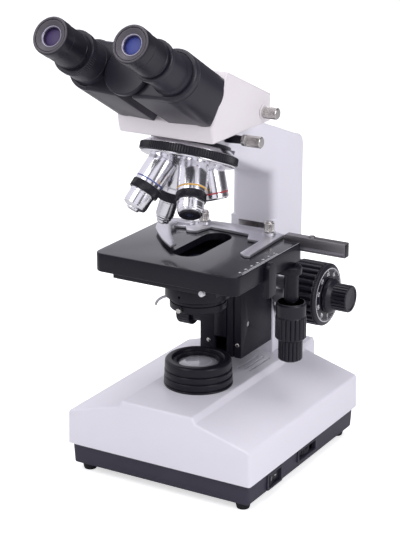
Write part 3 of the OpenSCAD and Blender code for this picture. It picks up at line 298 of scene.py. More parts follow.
def softened(node, width, name=None, segments=2, angle=28):
    # a CAD node's own form with its loose triangles merged and its hard edges rounded
    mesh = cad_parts[node].data.copy()
    work = bmesh.new()
    work.from_mesh(mesh)
    bmesh.ops.remove_doubles(work, verts=work.verts, dist=mesher["merge"])
    bmesh.ops.dissolve_limit(work, angle_limit=math.radians(1.0), verts=work.verts, edges=work.edges)
    work.to_mesh(mesh)
    work.free()
    obj = addObject(name or node, mesh)
    bevel = obj.modifiers.new("edge", "BEVEL")
    bevel.width, bevel.segments = width * mm, segments
    bevel.limit_method, bevel.angle_limit = "ANGLE", math.radians(angle)
    applyModifier(obj, bevel)
    smoothFaces(obj.data)
    return obj


def faceRows(obj, what):
    # one row of three numbers a face: its normal, or its centre in metres
    rows = np.zeros(3 * len(obj.data.polygons))
    obj.data.polygons.foreach_get(what, rows)
    return rows.reshape(-1, 3)


def coloured(obj, *finishes):
    obj.data.materials.clear()
    for finish in finishes:
        obj.data.materials.append(finish)
    return obj


def paintFaces(obj, index):
    obj.data.polygons.foreach_set("material_index", index.astype(int))


def settle(obj, body, node, slotName):
    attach(obj, body)
    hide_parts(node)


def dress(obj, body, finish, node, slotName):
    settle(coloured(obj, finish), body, node, slotName)


def spun(name, part, place, finish):
    # a turned part from its dictionary: line, and where they differ soft, sides and flutes
    return coloured(turned(name, part["line"], place, part.get("soft", 0.3), part.get("sides", 96),
                           part.get("flutes", ())), finish)


def assemble(name, body, node, slotName, *parts):
    # one piece from its parts: each is an object, or a turned part's dictionary, place and finish
    made = [spun(name, *part) if isinstance(part, tuple) else part for part in parts]
    settle(joinPieces(name, made), body, node, slotName)


class Wire:
    # a socket that can be used in Python sums; each sum adds its Math node
    def __init__(self, net, socket):
        self.net, self.socket = net, socket

    def sum(self, operation, a, b):
        return self.net.add("ShaderNodeMath", {"operation": operation}, {0: a, 1: b})

    def __add__(self, other):
        return self.sum("ADD", self, other)

    def __radd__(self, other):
        return self.sum("ADD", other, self)

    def __sub__(self, other):
        return self.sum("SUBTRACT", self, other)

    def __rsub__(self, other):
        return self.sum("SUBTRACT", other, self)

    def __mul__(self, other):
        return self.sum("MULTIPLY", self, other)

    def __rmul__(self, other):
        return self.sum("MULTIPLY", other, self)

    def __truediv__(self, other):
        return self.sum("DIVIDE", self, other)

    def __rtruediv__(self, other):
        return self.sum("DIVIDE", other, self)

    def clamped(self):
        return self.net.add("ShaderNodeClamp", {}, {"Value": self})


class Net:
    # one material's or world's nodes
    def __init__(self, owner):
        owner.use_nodes = True
        self.owner, self.tree = owner, owner.node_tree
        self.tree.nodes.clear()

    def add(self, kind, settings, values, out=0):
        node = self.tree.nodes.new(kind)
        for key, value in settings.items():
            if key == "stops":
                ramp = node.color_ramp.elements
                ramp[0].position, ramp[0].color = value[0]
                ramp[1].position, ramp[1].color = value[-1]
                for spot, colour in value[1:-1]:
                    ramp.new(spot).color = colour
            else:
                setattr(node, key, value)
        for key, value in values.items():
            if isinstance(value, Wire):
                self.tree.links.new(value.socket, node.inputs[key])
            else:
                node.inputs[key].default_value = value
        return Wire(self, node.outputs[out]) if len(node.outputs) else None

    def mixColour(self, amount, a, b):
        return self.add("ShaderNodeMix", {"data_type": "RGBA"}, {0: amount, 6: a, 7: b}, out=2)

    def ramp(self, stops, amount):
        return self.add("ShaderNodeValToRGB", {"stops": stops}, {"Fac": amount})

    def noise(self, where, scale, detail=3, rough=0.55):
        return self.add("ShaderNodeTexNoise", {},
                        {"Vector": where, "Scale": scale, "Detail": detail, "Roughness": rough})

    def cloud(self, scale, detail):
        # noise in the piece's own coordinates
        return self.noise(self.add("ShaderNodeTexCoord", {}, {}, out="Object"), scale, detail)

    def reach(self):
        # the wrap's second number: the way along a turned piece's profile, in millimetres
        wrap = self.add("ShaderNodeUVMap", {"uv_map": "wrap"}, {})
        return self.add("ShaderNodeSeparateXYZ", {}, {0: wrap}, out=1)

    def ray(self, kind):
        return self.add("ShaderNodeLightPath", {}, {}, out=kind)

    def bump(self, height, strength, distance=0.0001):
        return self.add("ShaderNodeBump", {},
                        {"Height": height, "Strength": strength, "Distance": distance})

    def surface(self, **values):
        names = {"color": "Base Color", "rough": "Roughness", "metal": "Metallic",
                 "normal": "Normal", "coat": "Coat Weight", "coatRough": "Coat Roughness",
                 "ior": "IOR", "clear": "Transmission Weight", "glow": "Emission Color",
                 "glowPower": "Emission Strength", "shine": "Specular IOR Level"}
        shader = self.add("ShaderNodeBsdfPrincipled", {}, {names[k]: v for k, v in values.items()})
        self.add("ShaderNodeOutputMaterial", {}, {"Surface": shader})
        return self.owner


def newNet(name):
    return Net(bpy.data.materials.new(name))


def rgb(colour, factor=1.0):
    return tuple(min(1, c * factor) for c in colour) + (1.0,)


# finishes: every one reads the piece's own coordinates, or the wrap round a turned piece
def paint(name, colour, rough, look, metal=0.0, coat=0.0, shine=0.5):
    net = newNet(name)
    cloud = net.cloud(look["cloudScale"], 3)
    peel = net.cloud(look["peelScale"], look["peelDetail"])
    spread = look["toneSpread"]
    tone = net.ramp([(0.25, rgb(colour, 1 - spread)), (0.75, rgb(colour, 1 + spread))], cloud)
    gloss = (cloud - 0.5) * look["glossSpread"] + rough
    return net.surface(color=tone, rough=gloss.clamped(), metal=metal, coat=coat, coatRough=0.12,
                       normal=net.bump(peel, look["peelHeight"], look["peelDepth"]), shine=shine)


enamel = {"cloudScale": 14, "peelScale": 900, "peelDetail": 2, "toneSpread": 0.012,
          "glossSpread": 0.08, "peelHeight": 0.10, "peelDepth": 0.0002}
fineGrain = {"cloudScale": 20, "peelScale": 1700, "peelDetail": 3, "toneSpread": 0.10,
             "glossSpread": 0.10, "peelHeight": 0.25, "peelDepth": 0.00025}
softGrain = {"cloudScale": 24, "peelScale": 1100, "peelDetail": 2, "toneSpread": 0.08,
             "glossSpread": 0.08, "peelHeight": 0.12, "peelDepth": 0.0002}
tableGrain = {"cloudScale": 9, "peelScale": 2100, "peelDetail": 2, "toneSpread": 0.06,
              "glossSpread": 0.06, "peelHeight": 0.12, "peelDepth": 0.0001}
whitePaint = paint("whiteEnamel", (0.80, 0.785, 0.85), 0.34, enamel, coat=0.1)
headPaint = paint("warmWhiteEnamel", (0.84, 0.79, 0.82), 0.34, enamel, coat=0.1)
trayPaint = paint("greyEnamel", (0.046, 0.043, 0.062), 0.45, fineGrain, shine=0.22)
blackPaint = paint("blackEnamel", (0.0095, 0.0090, 0.0145), 0.30, softGrain, shine=0.26)
columnPaint = paint("columnEnamel", (0.0120, 0.0110, 0.0180), 0.5, softGrain, shine=0.26)
stageTopPaint = paint("stageMatt", (0.012, 0.0115, 0.016), 0.15, tableGrain, shine=0.76)
housingPlastic = paint("housingPlastic", (0.022, 0.0200, 0.030), 0.34, softGrain, shine=0.36)
blackPlastic = paint("knobPlastic", (0.0125, 0.0115, 0.0185), 0.32, softGrain, shine=0.36)
footRubber = paint("footRubber", (0.012, 0.011, 0.014), 0.62, fineGrain, shine=0.35)
# painted light: the paler metal for the rail's faces turned up and forward, towards the lamps
railPaintedLight = paint("railPaintedLight", (0.20, 0.19, 0.20), 0.34, softGrain, metal=0.6)
# painted highlight: a pale lilac metal for the groove at the rail's right end
railPaintedHighlight = paint("railPaintedHighlight", (0.46, 0.44, 0.50), 0.32, softGrain, metal=0.6)
sheetMetal = paint("sheetMetal", (0.62, 0.61, 0.65), 0.30, softGrain, metal=0.85)
ironCore = paint("varnishedIron", (0.10, 0.10, 0.105), 0.5, fineGrain, metal=0.3)
paleFace = paint("paleFace", (0.50, 0.49, 0.52), 0.45, softGrain, metal=0.2)


def turnedMetal(name, colour, rough, ringScale=3.0, ringHeight=0.02):
    # tool marks run round the piece: noise read along its profile only
    net = newNet(name)
    onlyLength = net.add("ShaderNodeCombineXYZ", {}, {1: net.reach() * ringScale})
    rings = net.noise(onlyLength, 1.0, 4, 0.7)
    cloud = net.cloud(60, 2)
    gloss = rough + (rings - 0.5) * 0.14 + (cloud - 0.5) * 0.06
    tone = net.mixColour(cloud, rgb(colour, 0.95), rgb(colour, 1.04))
    return net.surface(color=tone, rough=gloss.clamped(), metal=1.0, normal=net.bump(rings, ringHeight))


def plainMetal(name, colour, rough):
    net = newNet(name)
    cloud = net.cloud(45, 3)
    scratch = net.cloud(900, 2)
    tone = net.mixColour(cloud, rgb(colour, 0.93), rgb(colour, 1.05))
    gloss = rough + (scratch - 0.5) * 0.12 + (cloud - 0.5) * 0.1
    return net.surface(color=tone, rough=gloss.clamped(), metal=1.0, normal=net.bump(scratch, 0.06))


chrome = turnedMetal("turnedChrome", (0.86, 0.85, 0.89), 0.17)
knurlChrome = plainMetal("knurlChrome", (0.60, 0.58, 0.56), 0.26)
plainSteel = plainMetal("groundSteel", (0.52, 0.52, 0.54), 0.34)
plainBrass = plainMetal("machinedBrass", (0.62, 0.47, 0.22), 0.3)
mirrorFace = plainMetal("silveredMirror", (0.86, 0.87, 0.88), 0.06)
lilacRing = plainMetal("lilacRing", (0.30, 0.28, 0.35), 0.42)


def bandPaint(name, colour):
    net = newNet(name)
    cloud = net.cloud(120, 2)
    tone = net.mixColour(cloud, rgb(colour, 0.9), rgb(colour))
    return net.surface(color=tone, rough=0.32 + (cloud - 0.5) * 0.1, metal=0.0)


redBand = bandPaint("redBand", (0.42, 0.04, 0.05))
yellowBand = bandPaint("yellowBand", (0.83, 0.46, 0.06))
blueBand = bandPaint("blueBand", (0.10, 0.14, 0.42))
whiteBand = bandPaint("whiteBand", (0.78, 0.78, 0.80))
markWhite = bandPaint("markWhite", (0.74, 0.74, 0.78))
pinWhite = bandPaint("pinWhite", (0.78, 0.77, 0.80))


def bezelPaint():
    net = newNet("bezelGrey")
    cloud = net.cloud(300, 2)
    tone = net.mixColour(cloud, rgb((0.085, 0.077, 0.090)), rgb((0.11, 0.10, 0.115)))
    return net.surface(color=tone, rough=0.42 + (cloud - 0.5) * 0.1, metal=0.2,
                       normal=net.bump(cloud, 0.1))


bezelGrey = bezelPaint()


def coatedLens(name, middle, rim, rough=0.16, span=12.5):
    # the coating's tint sits in the middle and runs to a darker rim colour, span millimetres along the
    # profile; the darker rim is painted shade from the mount's wall
    net = newNet(name)
    stops = [(0.0, rgb(middle)), (0.45, rgb(middle)), (0.9, rgb(rim))]
    tone = net.ramp(stops, net.reach() / span)
    gloss = (net.cloud(90, 2) - 0.5) * 0.04 + rough
    return net.surface(color=tone, rough=gloss, metal=0.0, shine=0.22)


# the middle colours are the coatings; the darker rim colours are painted shade at the lens edges
eyeGlass = {1: coatedLens("blueLens", (0.050, 0.070, 0.30), (0.030, 0.025, 0.11), 0.3),
            -1: coatedLens("violetLens", (0.062, 0.040, 0.125), (0.028, 0.018, 0.06), 0.3)}
frontGlass = coatedLens("frontLens", (0.02, 0.025, 0.05), (0.01, 0.01, 0.02))


def diffuserGlass(name, rim):
    # frosted lens: pale in the middle with a darker rim, and a faint ring further in
    net = newNet(name)
    reach = net.reach() / rim
    ring = net.add("ShaderNodeMath", {"operation": "COMPARE"}, {0: reach, 1: 0.62, 2: 0.03})
    tone = net.ramp([(0.0, rgb((0.50, 0.49, 0.54))), (0.6, rgb((0.38, 0.37, 0.41))),
                     (0.95, rgb((0.20, 0.195, 0.22)))], reach)
    tone = net.mixColour(ring * 0.4, tone, rgb((0.62, 0.61, 0.63)))
    gloss = 0.16 + (net.cloud(300, 3) - 0.5) * 0.06
    return net.surface(color=tone, rough=gloss, metal=0.0, coat=1.0, coatRough=0.04)


lampGlass = diffuserGlass("collectorGlass", 19)


def clearGlass(name, tint):
    net = newNet(name)
    cloud = net.cloud(70, 2)
    tone = net.mixColour(cloud, rgb(tint, 0.97), rgb(tint))
    return net.surface(color=tone, rough=(cloud - 0.5) * 0.02 + 0.03, metal=0.0, clear=1.0, ior=1.5)


prismGlass = clearGlass("prismGlass", (0.80, 0.86, 0.90))
print("finishes ready")

# places that several pieces share
nose = shift(z=327.5) @ turn("X", 158)
head = shift(0, -46.5, 340.7) @ turn("X", 60)
swing = math.degrees(math.acos(37 / 37.2))
tubes = {side: head @ turn("Z", side * swing) @ shift(side * 37.2) for side in (-1, 1)}
lensPlaces = [nose @ turn("Z", -46 + 90 * i) @ turn("Y", 22) for i in range(4)]
focusRight = shift(0, 119, 135.5) @ turn("Y", 90)
focusLeft = shift(0, 119, 135.5) @ turn("Y", -90)
clampAt = shift(z=303.4) @ turn("Y", 90)


def chamfered(inner, outer, low, high, cut, rise):
    # the profile of a ring whose outer corners are cut off
    return [(inner, low), (outer - cut, low), (outer, low + rise), (outer, high - rise),
            (outer - cut, high), (inner, high)]


# the cast base: its section from side to side runs from front to back, with a bulge under the arm
base = {"half": 92, "front": 71, "back": 134, "low": 20, "cutAt": 26.5, "side": 57.5, "wing": 72.5,
        "spine": 35.5, "top": 78, "wall": 3, "edge": 2.2, "socket": ((-14.6, 130, 40), (14.6, 156, 61)),
        "bulge": [(37.5, 20), (37.5, 73.2, 2.5), (35.5, 78, 2.2)], "bulgeFrom": 120, "bulgeTo": 155,
        "vents": (-26, -20, -14, 14, 20, 26), "ventHalf": 1.1, "ventFrom": 46, "ventTo": 84}


def baseSection(inset, low):
    half, spine = base["half"] - inset, base["spine"] - inset
    return mirrored([(half, low), (half - 1, base["side"] - inset, 3.2),
                     (spine + 3, base["wing"] - inset, 2.5), (spine, base["top"] - inset, 2.2)])


shell = slab("baseShell", baseSection(0, base["low"]), -base["back"], base["front"], along("y"),
             corner=0.4, edge=base["edge"])
combine(shell, slab("bulge", mirrored(base["bulge"]), -base["bulgeTo"], -base["bulgeFrom"],
                    along("y"), corner=0.4, edge=4.0))
wall = base["wall"]
carve(shell, cutter(baseSection(wall, 15), wall - base["back"], base["front"] - wall, along("y")),
      brick("below", (-120, -120, 0), (120, 190, base["cutAt"])), brick("socketRoom", *base["socket"]))
for x in base["vents"]:
    vent = rectangle(x - base["ventHalf"], base["ventFrom"], x + base["ventHalf"], base["ventTo"])
    carve(shell, cutter(vent, 68, 80, shift(), corner=1.0))
dress(shell, "stand", whitePaint, "base_shell", "white_paint")

# the sheet metal tray with its openings, and the frames round them
tray = {"inset": 3.8, "wall": 1.8, "low": 7.4, "floor": 10.4, "high": 26.5, "draft": 1.2, "edge": 0.9,
        "openings": [((79, -34, 10), (94, -12, 23.5)), ((79, 21, 14), (94, 53, 23))],
        "frames": [((-36.2, 8.9), (-9.8, 24.4), 1.8), ((19.4, 12.8), (54.6, 24.2), 1.4)],
        "switchPin": (1.5, 9.4, 22.5),
        "wheelPin": {"line": [(0, 9.4), (4, 9.4), (4, 15.7), (2, 15.7), (2, 22), (0, 22)],
                     "soft": 0.1, "sides": 32},
        "switchAt": (83.4, -23, 0), "wheelAt": (72.9, 37, 0)}


def trayOutline(inset):
    return mirrored([(92 - inset, inset - 71, 3), (92 - inset, 134 - inset, 3),
                     (37.5 - inset, 134 - inset, 1), (37.5 - inset, 152 - inset, 2),
                     (27.5, 155 - inset, 2)])


pan = slab("baseTray", trayOutline(tray["inset"]), tray["low"], tray["high"], shift(), corner=2,
           edge=tray["edge"], taper=-tray["draft"])
carve(pan, cutter(trayOutline(tray["inset"] + tray["wall"]), tray["floor"], 40, shift(), corner=2),
      *[brick("opening", *corners) for corners in tray["openings"]])
trayParts = [pan]
for (y0, z0), (y1, z1), rim in tray["frames"]:
    hole = rectangle(y0 + rim + 0.5, z0 + rim, y1 - rim - 0.5, z1 - rim)
    border = slab("frame", rectangle(y0, z0, y1, z1), 88.6, 90.6, along("x"), corner=1.6, edge=0.6)
    trayParts.append(carve(border, cutter(hole, 80, 95, along("x"), corner=0.8)))
trayParts += [rod("pin", *tray["switchPin"], shift(*tray["switchAt"]), 0.1, 24),
              spun("pin", tray["wheelPin"], shift(*tray["wheelAt"]), trayPaint)]
dress(joinPieces("baseTray", trayParts), "stand", trayPaint, "base_tray", "grey_paint")

foot = {"x": (-78, 78), "y": (-57, 120), "sides": 48,
        "line": [(2, 7.4), (7.5, 7.4), (7.5, 6.4), (6.8, 5.9), (5.6, 0.5, 0.6), (5.3, 0, 0.4), (4, 0),
                 (4, 3), (2, 3)]}
assemble("rubberFeet", "stand", "rubber_feet", "foot_rubber",
         *[(foot, shift(x, y), footRubber) for x in foot["x"] for y in foot["y"]])

# power switch: a rocker with a hollowed face, and its two marks
rocker = {"edge": 0.5, "tilt": 6, "hollow": 29, "centre": 33.6, "markOut": 4.4, "markZ": 16.75,
          "markDepth": 0.06, "lineHalf": (0.3, 1.5),
          "circle": {"line": rectangle(1.25, -0.02, 1.75, 0.03), "soft": 0.01, "sides": 32}}


def onRocker(y):
    # the place on the rocker's hollow face: an upright cylinder of radius "hollow", turned by the tilt
    centre = (turn("Z", rocker["tilt"]) @ shift(rocker["centre"]))[:3, 3] + tray["switchAt"]
    a = math.pi + math.radians(rocker["tilt"]) - y / rocker["hollow"]
    outward = np.array([math.cos(a), math.sin(a), 0])
    spot = centre + (rocker["hollow"] - rocker["markDepth"]) * outward + (0, 0, rocker["markZ"])
    return axes(spot, -outward, (0, 0, 1))


x, y = rocker["lineHalf"]
lineMark = slab("lineMark", rectangle(-x, -y, x, y), -0.02, 0.03, onRocker(rocker["markOut"]),
                corner=0.1, edge=0.005, steps=1)
assemble("powerRocker", "switch", "power_rocker", "black_plastic",
         coloured(softened("power_rocker", rocker["edge"], "powerRocker", 3), blackPlastic),
         (rocker["circle"], onRocker(-rocker["markOut"]), markWhite), coloured(lineMark, markWhite))

dimmer = {"line": chamfered(2.05, 17, 15.8, 21.2, 1.6, 0.6), "soft": 0.4,
          "flutes": [{"count": 48, "z0": 15.9, "z1": 21.1, "depth": 0.7, "inner": 12, "run": 0.8}]}
assemble("brightnessWheel", "dimmer", "brightness_wheel", "black_plastic",
         (dimmer, shift(*tray["wheelAt"]), blackPlastic))
dress(softened("mains_inlet", 0.5, "mainsInlet"), "stand", blackPlastic, "mains_inlet",
      "black_plastic")
print("base ready")

# lamp collar: three rounded ribs, a flange and the frosted lens
collar = {"z": 78,
          "body": {"sides": 128,
                   "line": [(19, -8), (24.7, -8), (24.7, 0), (30.6, 0.0, 0.5), (30.6, 1.6, 0.8),
                            (29.0, 2.3, 0.3), (30.4, 3.0, 1.6), (30.3, 8.0, 1.6), (28.7, 8.7, 0.3),
                            (30.0, 9.4, 1.6), (29.9, 14.2, 1.6), (28.3, 14.9, 0.3),
                            (29.7, 15.6, 1.6), (29.4, 22.2, 2.2), (27.6, 23.7, 1.4),
                            (23.4, 23.7, 0.8), (22.6, 22.9, 0.4), (22.6, 21.2), (19, 21.2)]},
          "glass": {"soft": 1.2,
                    "line": [(0, 21.2), (5, 21.05, 2), (10, 20.5, 2), (15, 19.5, 2),
                             (18.9, 18.2, 0.4), (18.9, 14), (0, 14)]}}
assemble("lampCollar", "stand", "collector_housing", "black_paint",
         (collar["body"], shift(z=collar["z"]), blackPaint))
assemble("lampLens", "stand", "collector_lens", "clear_glass",
         (collar["glass"], shift(z=collar["z"]), lampGlass))

# arm: side outline of foot, pillar and nose; the fourth number of a corner is its edge's roundness
arm = {"half": 22.5,
       "outline": [(96, 78, 0.3, 0.9), (155, 78, 0.3, 7), (155, 266, 6, 7), (151.5, 273.5, 6, 6),
                   (140, 276.4, 10, 2.6), (76, 300, 5, 2.6), (66, 303, 5, 2.2), (0, 303, 1, 2.0),
                   (0, 286.5, 1, 7), (84, 252.6, 3, 8), (96, 247.7, 17, 8), (96, 205.3, 0.01, 7),
                   (96, 205.1, 0.01, 0.9)],
       "seat": (27, 294, 306.8), "slideSlot": ((-14.6, 90, 90), (14.6, 133, 201.6)),
       "rooms": [(43.5, 30, 95, nose, 128), (21.05, 301, 320, shift(), 96),
                 (12, 260, 310, shift(), 64), (9, -60, 60, focusRight, 64), (2.5, 17, 40, clampAt, 32)]}
armBody = slab("arm", arm["outline"], -arm["half"], arm["half"], along("x"), corner=1, edge=2, steps=5)
combine(armBody, rod("seat", *arm["seat"], shift(), 0.5, 96))
rooms = [rod("room", radius, low, high, place, 0.01, sides)
         for radius, low, high, place, sides in arm["rooms"]]
carve(armBody, rooms[0], brick("slideSlot", *arm["slideSlot"]), *rooms[1:])
dress(armBody, "stand", whitePaint, "arm", "white_paint")


def barMesh(name, flat, place):
    # thin boxes from rows of four flat corners, from 0.05 mm under the surface to 0.04 mm over it
    count = len(flat)
    bottom = np.concatenate([flat, np.full((count, 4, 1), -0.05)], -1)
    top = np.concatenate([flat, np.full((count, 4, 1), 0.04)], -1)
    points = np.concatenate([bottom, top], 1).reshape(-1, 3) @ place[:3, :3].T + place[:3, 3]
    box = np.array([[3, 2, 1, 0], [4, 5, 6, 7], [0, 1, 5, 4], [1, 2, 6, 5], [2, 3, 7, 6], [3, 0, 4, 7]])
    faces = (box[None] + 8 * np.arange(count)[:, None, None]).reshape(-1, 4)
    mesh = bpy.data.meshes.new(name)
    mesh.from_pydata((points * mm).tolist(), [], faces.tolist())
    work = bmesh.new()
    work.from_mesh(mesh)
    bmesh.ops.recalc_face_normals(work, faces=work.faces)
    work.to_mesh(mesh)
    work.free()
    return coloured(addObject(name, mesh), markWhite)


def dialMarks(place, marks):
    # radial bars on a dial: bar i points along the angle i / count of a turn, from the outer radius
    # inwards, and every so many of them are longer and wider
    i = np.arange(marks["count"])
    major = i % marks["longEvery"] == 0
    inner = np.where(major, marks["longFrom"], marks["shortFrom"])
    outer = np.full(marks["count"], marks["to"])
    half = np.where(major, marks["longWide"], marks["shortWide"]) / 2
    out = np.stack([inner, inner, outer, outer], 1)
    across = np.stack([-half, half, half, -half], 1)
    a = (i / marks["count"] * 2 * np.pi)[:, None]
    flat = np.stack([out * np.cos(a) - across * np.sin(a), out * np.sin(a) + across * np.cos(a)], -1)
    return barMesh("dialMarks", flat, place)


def digits(value, place, size):
    # a number on a scale, as a thin raised mesh
    curve = bpy.data.curves.new("digits", "FONT")
    curve.body, curve.size, curve.align_x, curve.align_y = value, size * mm, "CENTER", "CENTER"
    curve.extrude, curve.offset = 0.05 * mm, 0.09 * mm
    curve.resolution_u = 2
    letters = addObject("digits", curve)
    bpy.context.view_layer.update()
    mesh = bpy.data.meshes.new_from_object(letters)
    bpy.data.objects.remove(letters)
    inMetres = np.array(place)
    inMetres[:3, 3] *= mm
    mesh.transform(Matrix(inMetres.tolist()))
    return coloured(addObject("digits", mesh), pinWhite)


# focusing: ribbed drums with a number ring, flared fine knobs, and a notched collar
coarse = {"out": 36.3, "face": 30.12, "numbers": 10, "numberAt": 19.9, "numberSize": 4.8,
          "line": [(5, 0), (26.5, 0), (28.4, 1.0, 0.4), (29, 1.6, 0.3), (29, 26.2, 0.5),
                   (28.1, 26.9, 0.2), (28.8, 27.5, 0.3), (28.8, 28.9, 0.4), (27.3, 29.9, 0.6),
                   (25.6, 30.4, 0.4), (25.1, 30.6, 0.2), (24.4, 30.6, 0.1), (24.3, 30.1, 0.1),
                   (17.6, 30.1, 0.2), (17.2, 30.6, 0.2), (3.6, 30.6), (3.6, 24), (5, 24)],
          "flutes": [{"count": 28, "z0": 1.4, "z1": 26.6, "depth": 2.3, "inner": 26.0, "run": 0.8,
                      "steps": 14, "power": 2.4},
                     {"count": 112, "z0": 27.3, "z1": 29.4, "depth": 0.5, "inner": 27.0, "run": 0.3}],
          "rim": {"line": rectangle(24.35, 30.3, 25.0, 30.72), "soft": 0.02, "sides": 160},
          "marks": {"count": 50, "longEvery": 5, "longFrom": 21.9, "shortFrom": 23.0, "to": 24.3,
                    "longWide": 0.9, "shortWide": 0.45}}
drums = []
for place in (focusRight, focusLeft):
    outward = place @ shift(z=coarse["out"])
    face = outward @ shift(z=coarse["face"])
    drums += [(coarse, outward, blackPlastic), (coarse["rim"], outward, markWhite),
              dialMarks(face, coarse["marks"])]
    for i in range(coarse["numbers"]):
        spot = face @ turn("Z", i * 360 / coarse["numbers"]) @ shift(coarse["numberAt"]) @ turn("Z", 90)
        drums.append(digits(str(i * 10), spot, coarse["numberSize"]))
assemble("coarseKnobs", "coarse_focus", "coarse_knobs", "black_plastic", *drums)

fine = {"out": 67.6, "shaft": {"line": rectangle(0, -85.6, 2.5, 85.6), "soft": 0.2, "sides": 32},
        "line": [(2.5, 0), (15.6, 0), (16, 0.6), (16, 4.2, 0.8), (14.2, 6.0, 1.6), (12.5, 7.4, 0.8),
                 (12.5, 21.2, 0.6), (11.9, 22.1, 0.5), (10.2, 22.2, 0.3), (9.6, 21.4, 0.3),
                 (0, 21.5), (0, 21.05), (2.5, 21.05)],
        "flutes": [{"count": 24, "z0": 7.2, "z1": 21.6, "depth": 1.0, "inner": 10.9, "run": 0.8,
                    "steps": 10, "power": 5}]}
assemble("fineKnobs", "fine_focus", "fine_knobs", "black_plastic",
         *[(fine, place @ shift(z=fine["out"]), blackPlastic) for place in (focusRight, focusLeft)])
assemble("fineShaft", "fine_focus", "fine_shaft", "plain_steel", (fine["shaft"], focusRight, chrome))

bushing = {"right": {"line": rectangle(5.05, 14.6, 9, 23), "soft": 0.1, "sides": 64},
           "left": {"line": [(5.05, 14.6), (9, 14.6), (9, 22.6), (12, 22.6), (12, 23.5), (25.8, 23.5),
                             (27, 24.2), (27, 34.8), (25.8, 35.8), (5.05, 35.8)]}}
assemble("focusBushes", "stand", "focus_bushes", "plain_steel",
         (bushing["right"], focusRight, plainSteel), (bushing["left"], focusLeft, blackPlastic))
tension = {"line": [(5.3, 23.5), (27, 23.5), (28, 24.2), (28, 35.2), (27.2, 35.8), (5.3, 35.8)],
           "flutes": [{"count": 12, "z0": 26.2, "z1": 34.6, "depth": 1.1, "inner": 20, "run": 0.8,
                       "steps": 16, "power": 8}]}
assemble("tensionCollar", "tension", "tension_collar", "black_plastic",
         (tension, focusRight, plainSteel))
print("arm and focusing ready")

# column and the plates under the stage
column = {"edge": 0.45, "footPlate": ((-18.4, 42.2, 92.05), (18.4, 91.9, 93.5)),
          "screws": [(-12.5, 103), (-12.5, 168), (17.4, 103)], "front": 39.05,
          "screw": {"line": [(0, -0.4), (1.9, -0.4), (1.9, 0.45), (1.2, 0.75), (0, 0.75)],
                    "soft": 0.15, "sides": 32}}
assemble("stageCarrier", "carrier", "stage_carrier", "black_paint",
         coloured(softened("stage_carrier", column["edge"], "stageCarrier"), columnPaint),
         coloured(brick("footPlate", *column["footPlate"], 0.2), columnPaint),
         *[(column["screw"], shift(x, column["front"], z) @ turn("X", 90), knurlChrome)
           for x, z in column["screws"]])
dress(softened("focus_slide", 0.2, "focusSlide", 1), "carrier", plainBrass, "focus_slide",
      "plain_brass")
# the stop pin at the front of the plate is white
stopPin = {"x": 34, "reach": 2.7, "front": -49.5}
under = coloured(softened("stage_underplate", 0.6, "stageUnderplate"), blackPaint, pinWhite)
middle = faceRows(under, "center") / mm
onPin = (middle[:, 1] < stopPin["front"]) & (abs(middle[:, 0] - stopPin["x"]) < stopPin["reach"])
paintFaces(under, onPin)
settle(under, "carrier", "stage_underplate", "black_paint")

# stage: a thick plate with round front corners, hollow underneath, and its ruler
stage = {"half": 70, "front": -58.2, "back": 56.4, "low": 186.7, "high": 203.3, "corner": 12,
         "edge": 0.9, "wall": 6, "skin": 6.3, "windowRadius": 13, "windowFront": -16.2, "windowBack": 32,
         "runnerX": 53.5, "runnerHalf": 3.2, "runner": (-46, 46, 189.2, 197.2),
         "ledge": [(56, 186.2), (67.4, 186.2), (67.4, 193.9), (59, 193.9), (59, 203.3), (56, 203.3)],
         "border": rectangle(69.2, -46.5, 69.45, 54.5)}
ruler = {"x": 68.6, "y": 18, "count": 61, "step": 1.0, "longEvery": 5, "short": 1.6, "long": 2.8,
         "width": 0.36, "numbers": 7, "numberX": 64.6, "numberSize": 2.6, "lift": 0.03}


def roundedTable(inset, radius):
    # two corners stand for each round front corner, so that the arc is close to a circle
    x, y0, y1 = stage["half"] - inset, stage["front"] + inset, stage["back"] - inset
    reach, r = radius * 0.42, radius * 0.8
    return [(-x, y0 + reach, r), (reach - x, y0, r), (x - reach, y0, r), (x, y0 + reach, r),
            (x, y1, 1.5), (-x, y1, 1.5)]


def windowOutline():
    # a slot with round ends: each end is half a circle
    a = np.linspace(0, np.pi, 25)
    x, y = stage["windowRadius"] * np.cos(a), stage["windowRadius"] * np.sin(a)
    return ([(-px, stage["windowFront"] - py) for px, py in zip(x, y)]
            + [(px, stage["windowBack"] + py) for px, py in zip(x, y)])


def tickRow(place, marks):
    # engraved scale as thin bars: bar i starts at i steps and is longer at every so many
    i = np.arange(marks["count"])
    reach = np.where(i % marks["longEvery"] == 0, marks["long"], marks["short"])
    corner = np.array(rectangle(0, -0.5, 1, 0.5))
    flat = np.stack([corner[None, :, 0] * reach[:, None],
                     (i * marks["step"])[:, None] + corner[None, :, 1] * marks["width"]], -1)
    return barMesh("scale", flat, place)


table = slab("stagePlate", roundedTable(0, stage["corner"]), stage["low"], stage["high"], shift(),
             corner=1, edge=stage["edge"])
carve(table, cutter(roundedTable(stage["wall"], stage["corner"] - stage["wall"]), 180,
                    stage["high"] - stage["skin"], shift(), corner=1),
      cutter(windowOutline(), 180, 210, shift()))
coloured(table, stageTopPaint, blackPaint)
paintFaces(table, faceRows(table, "normal")[:, 2] < 0.9)
y0, y1, z0, z1 = stage["runner"]
tableParts = [table]
for x in (-stage["runnerX"], stage["runnerX"]):
    runner = brick("runner", (x - stage["runnerHalf"], y0, z0), (x + stage["runnerHalf"], y1, z1))
    tableParts.append(coloured(runner, blackPaint))
tableParts += [coloured(slab("ledge", stage["ledge"], y0, y1, along("x"), corner=0.3, edge=0.5),
                        blackPaint),
               tickRow(axes((ruler["x"], ruler["y"], stage["high"]), (0, 0, 1), (-1, 0, 0)), ruler),
               coloured(slab("border", stage["border"], stage["high"] - 0.1,
                             stage["high"] + ruler["lift"], shift(), corner=0.01, edge=0.005, steps=1),
                        markWhite)]
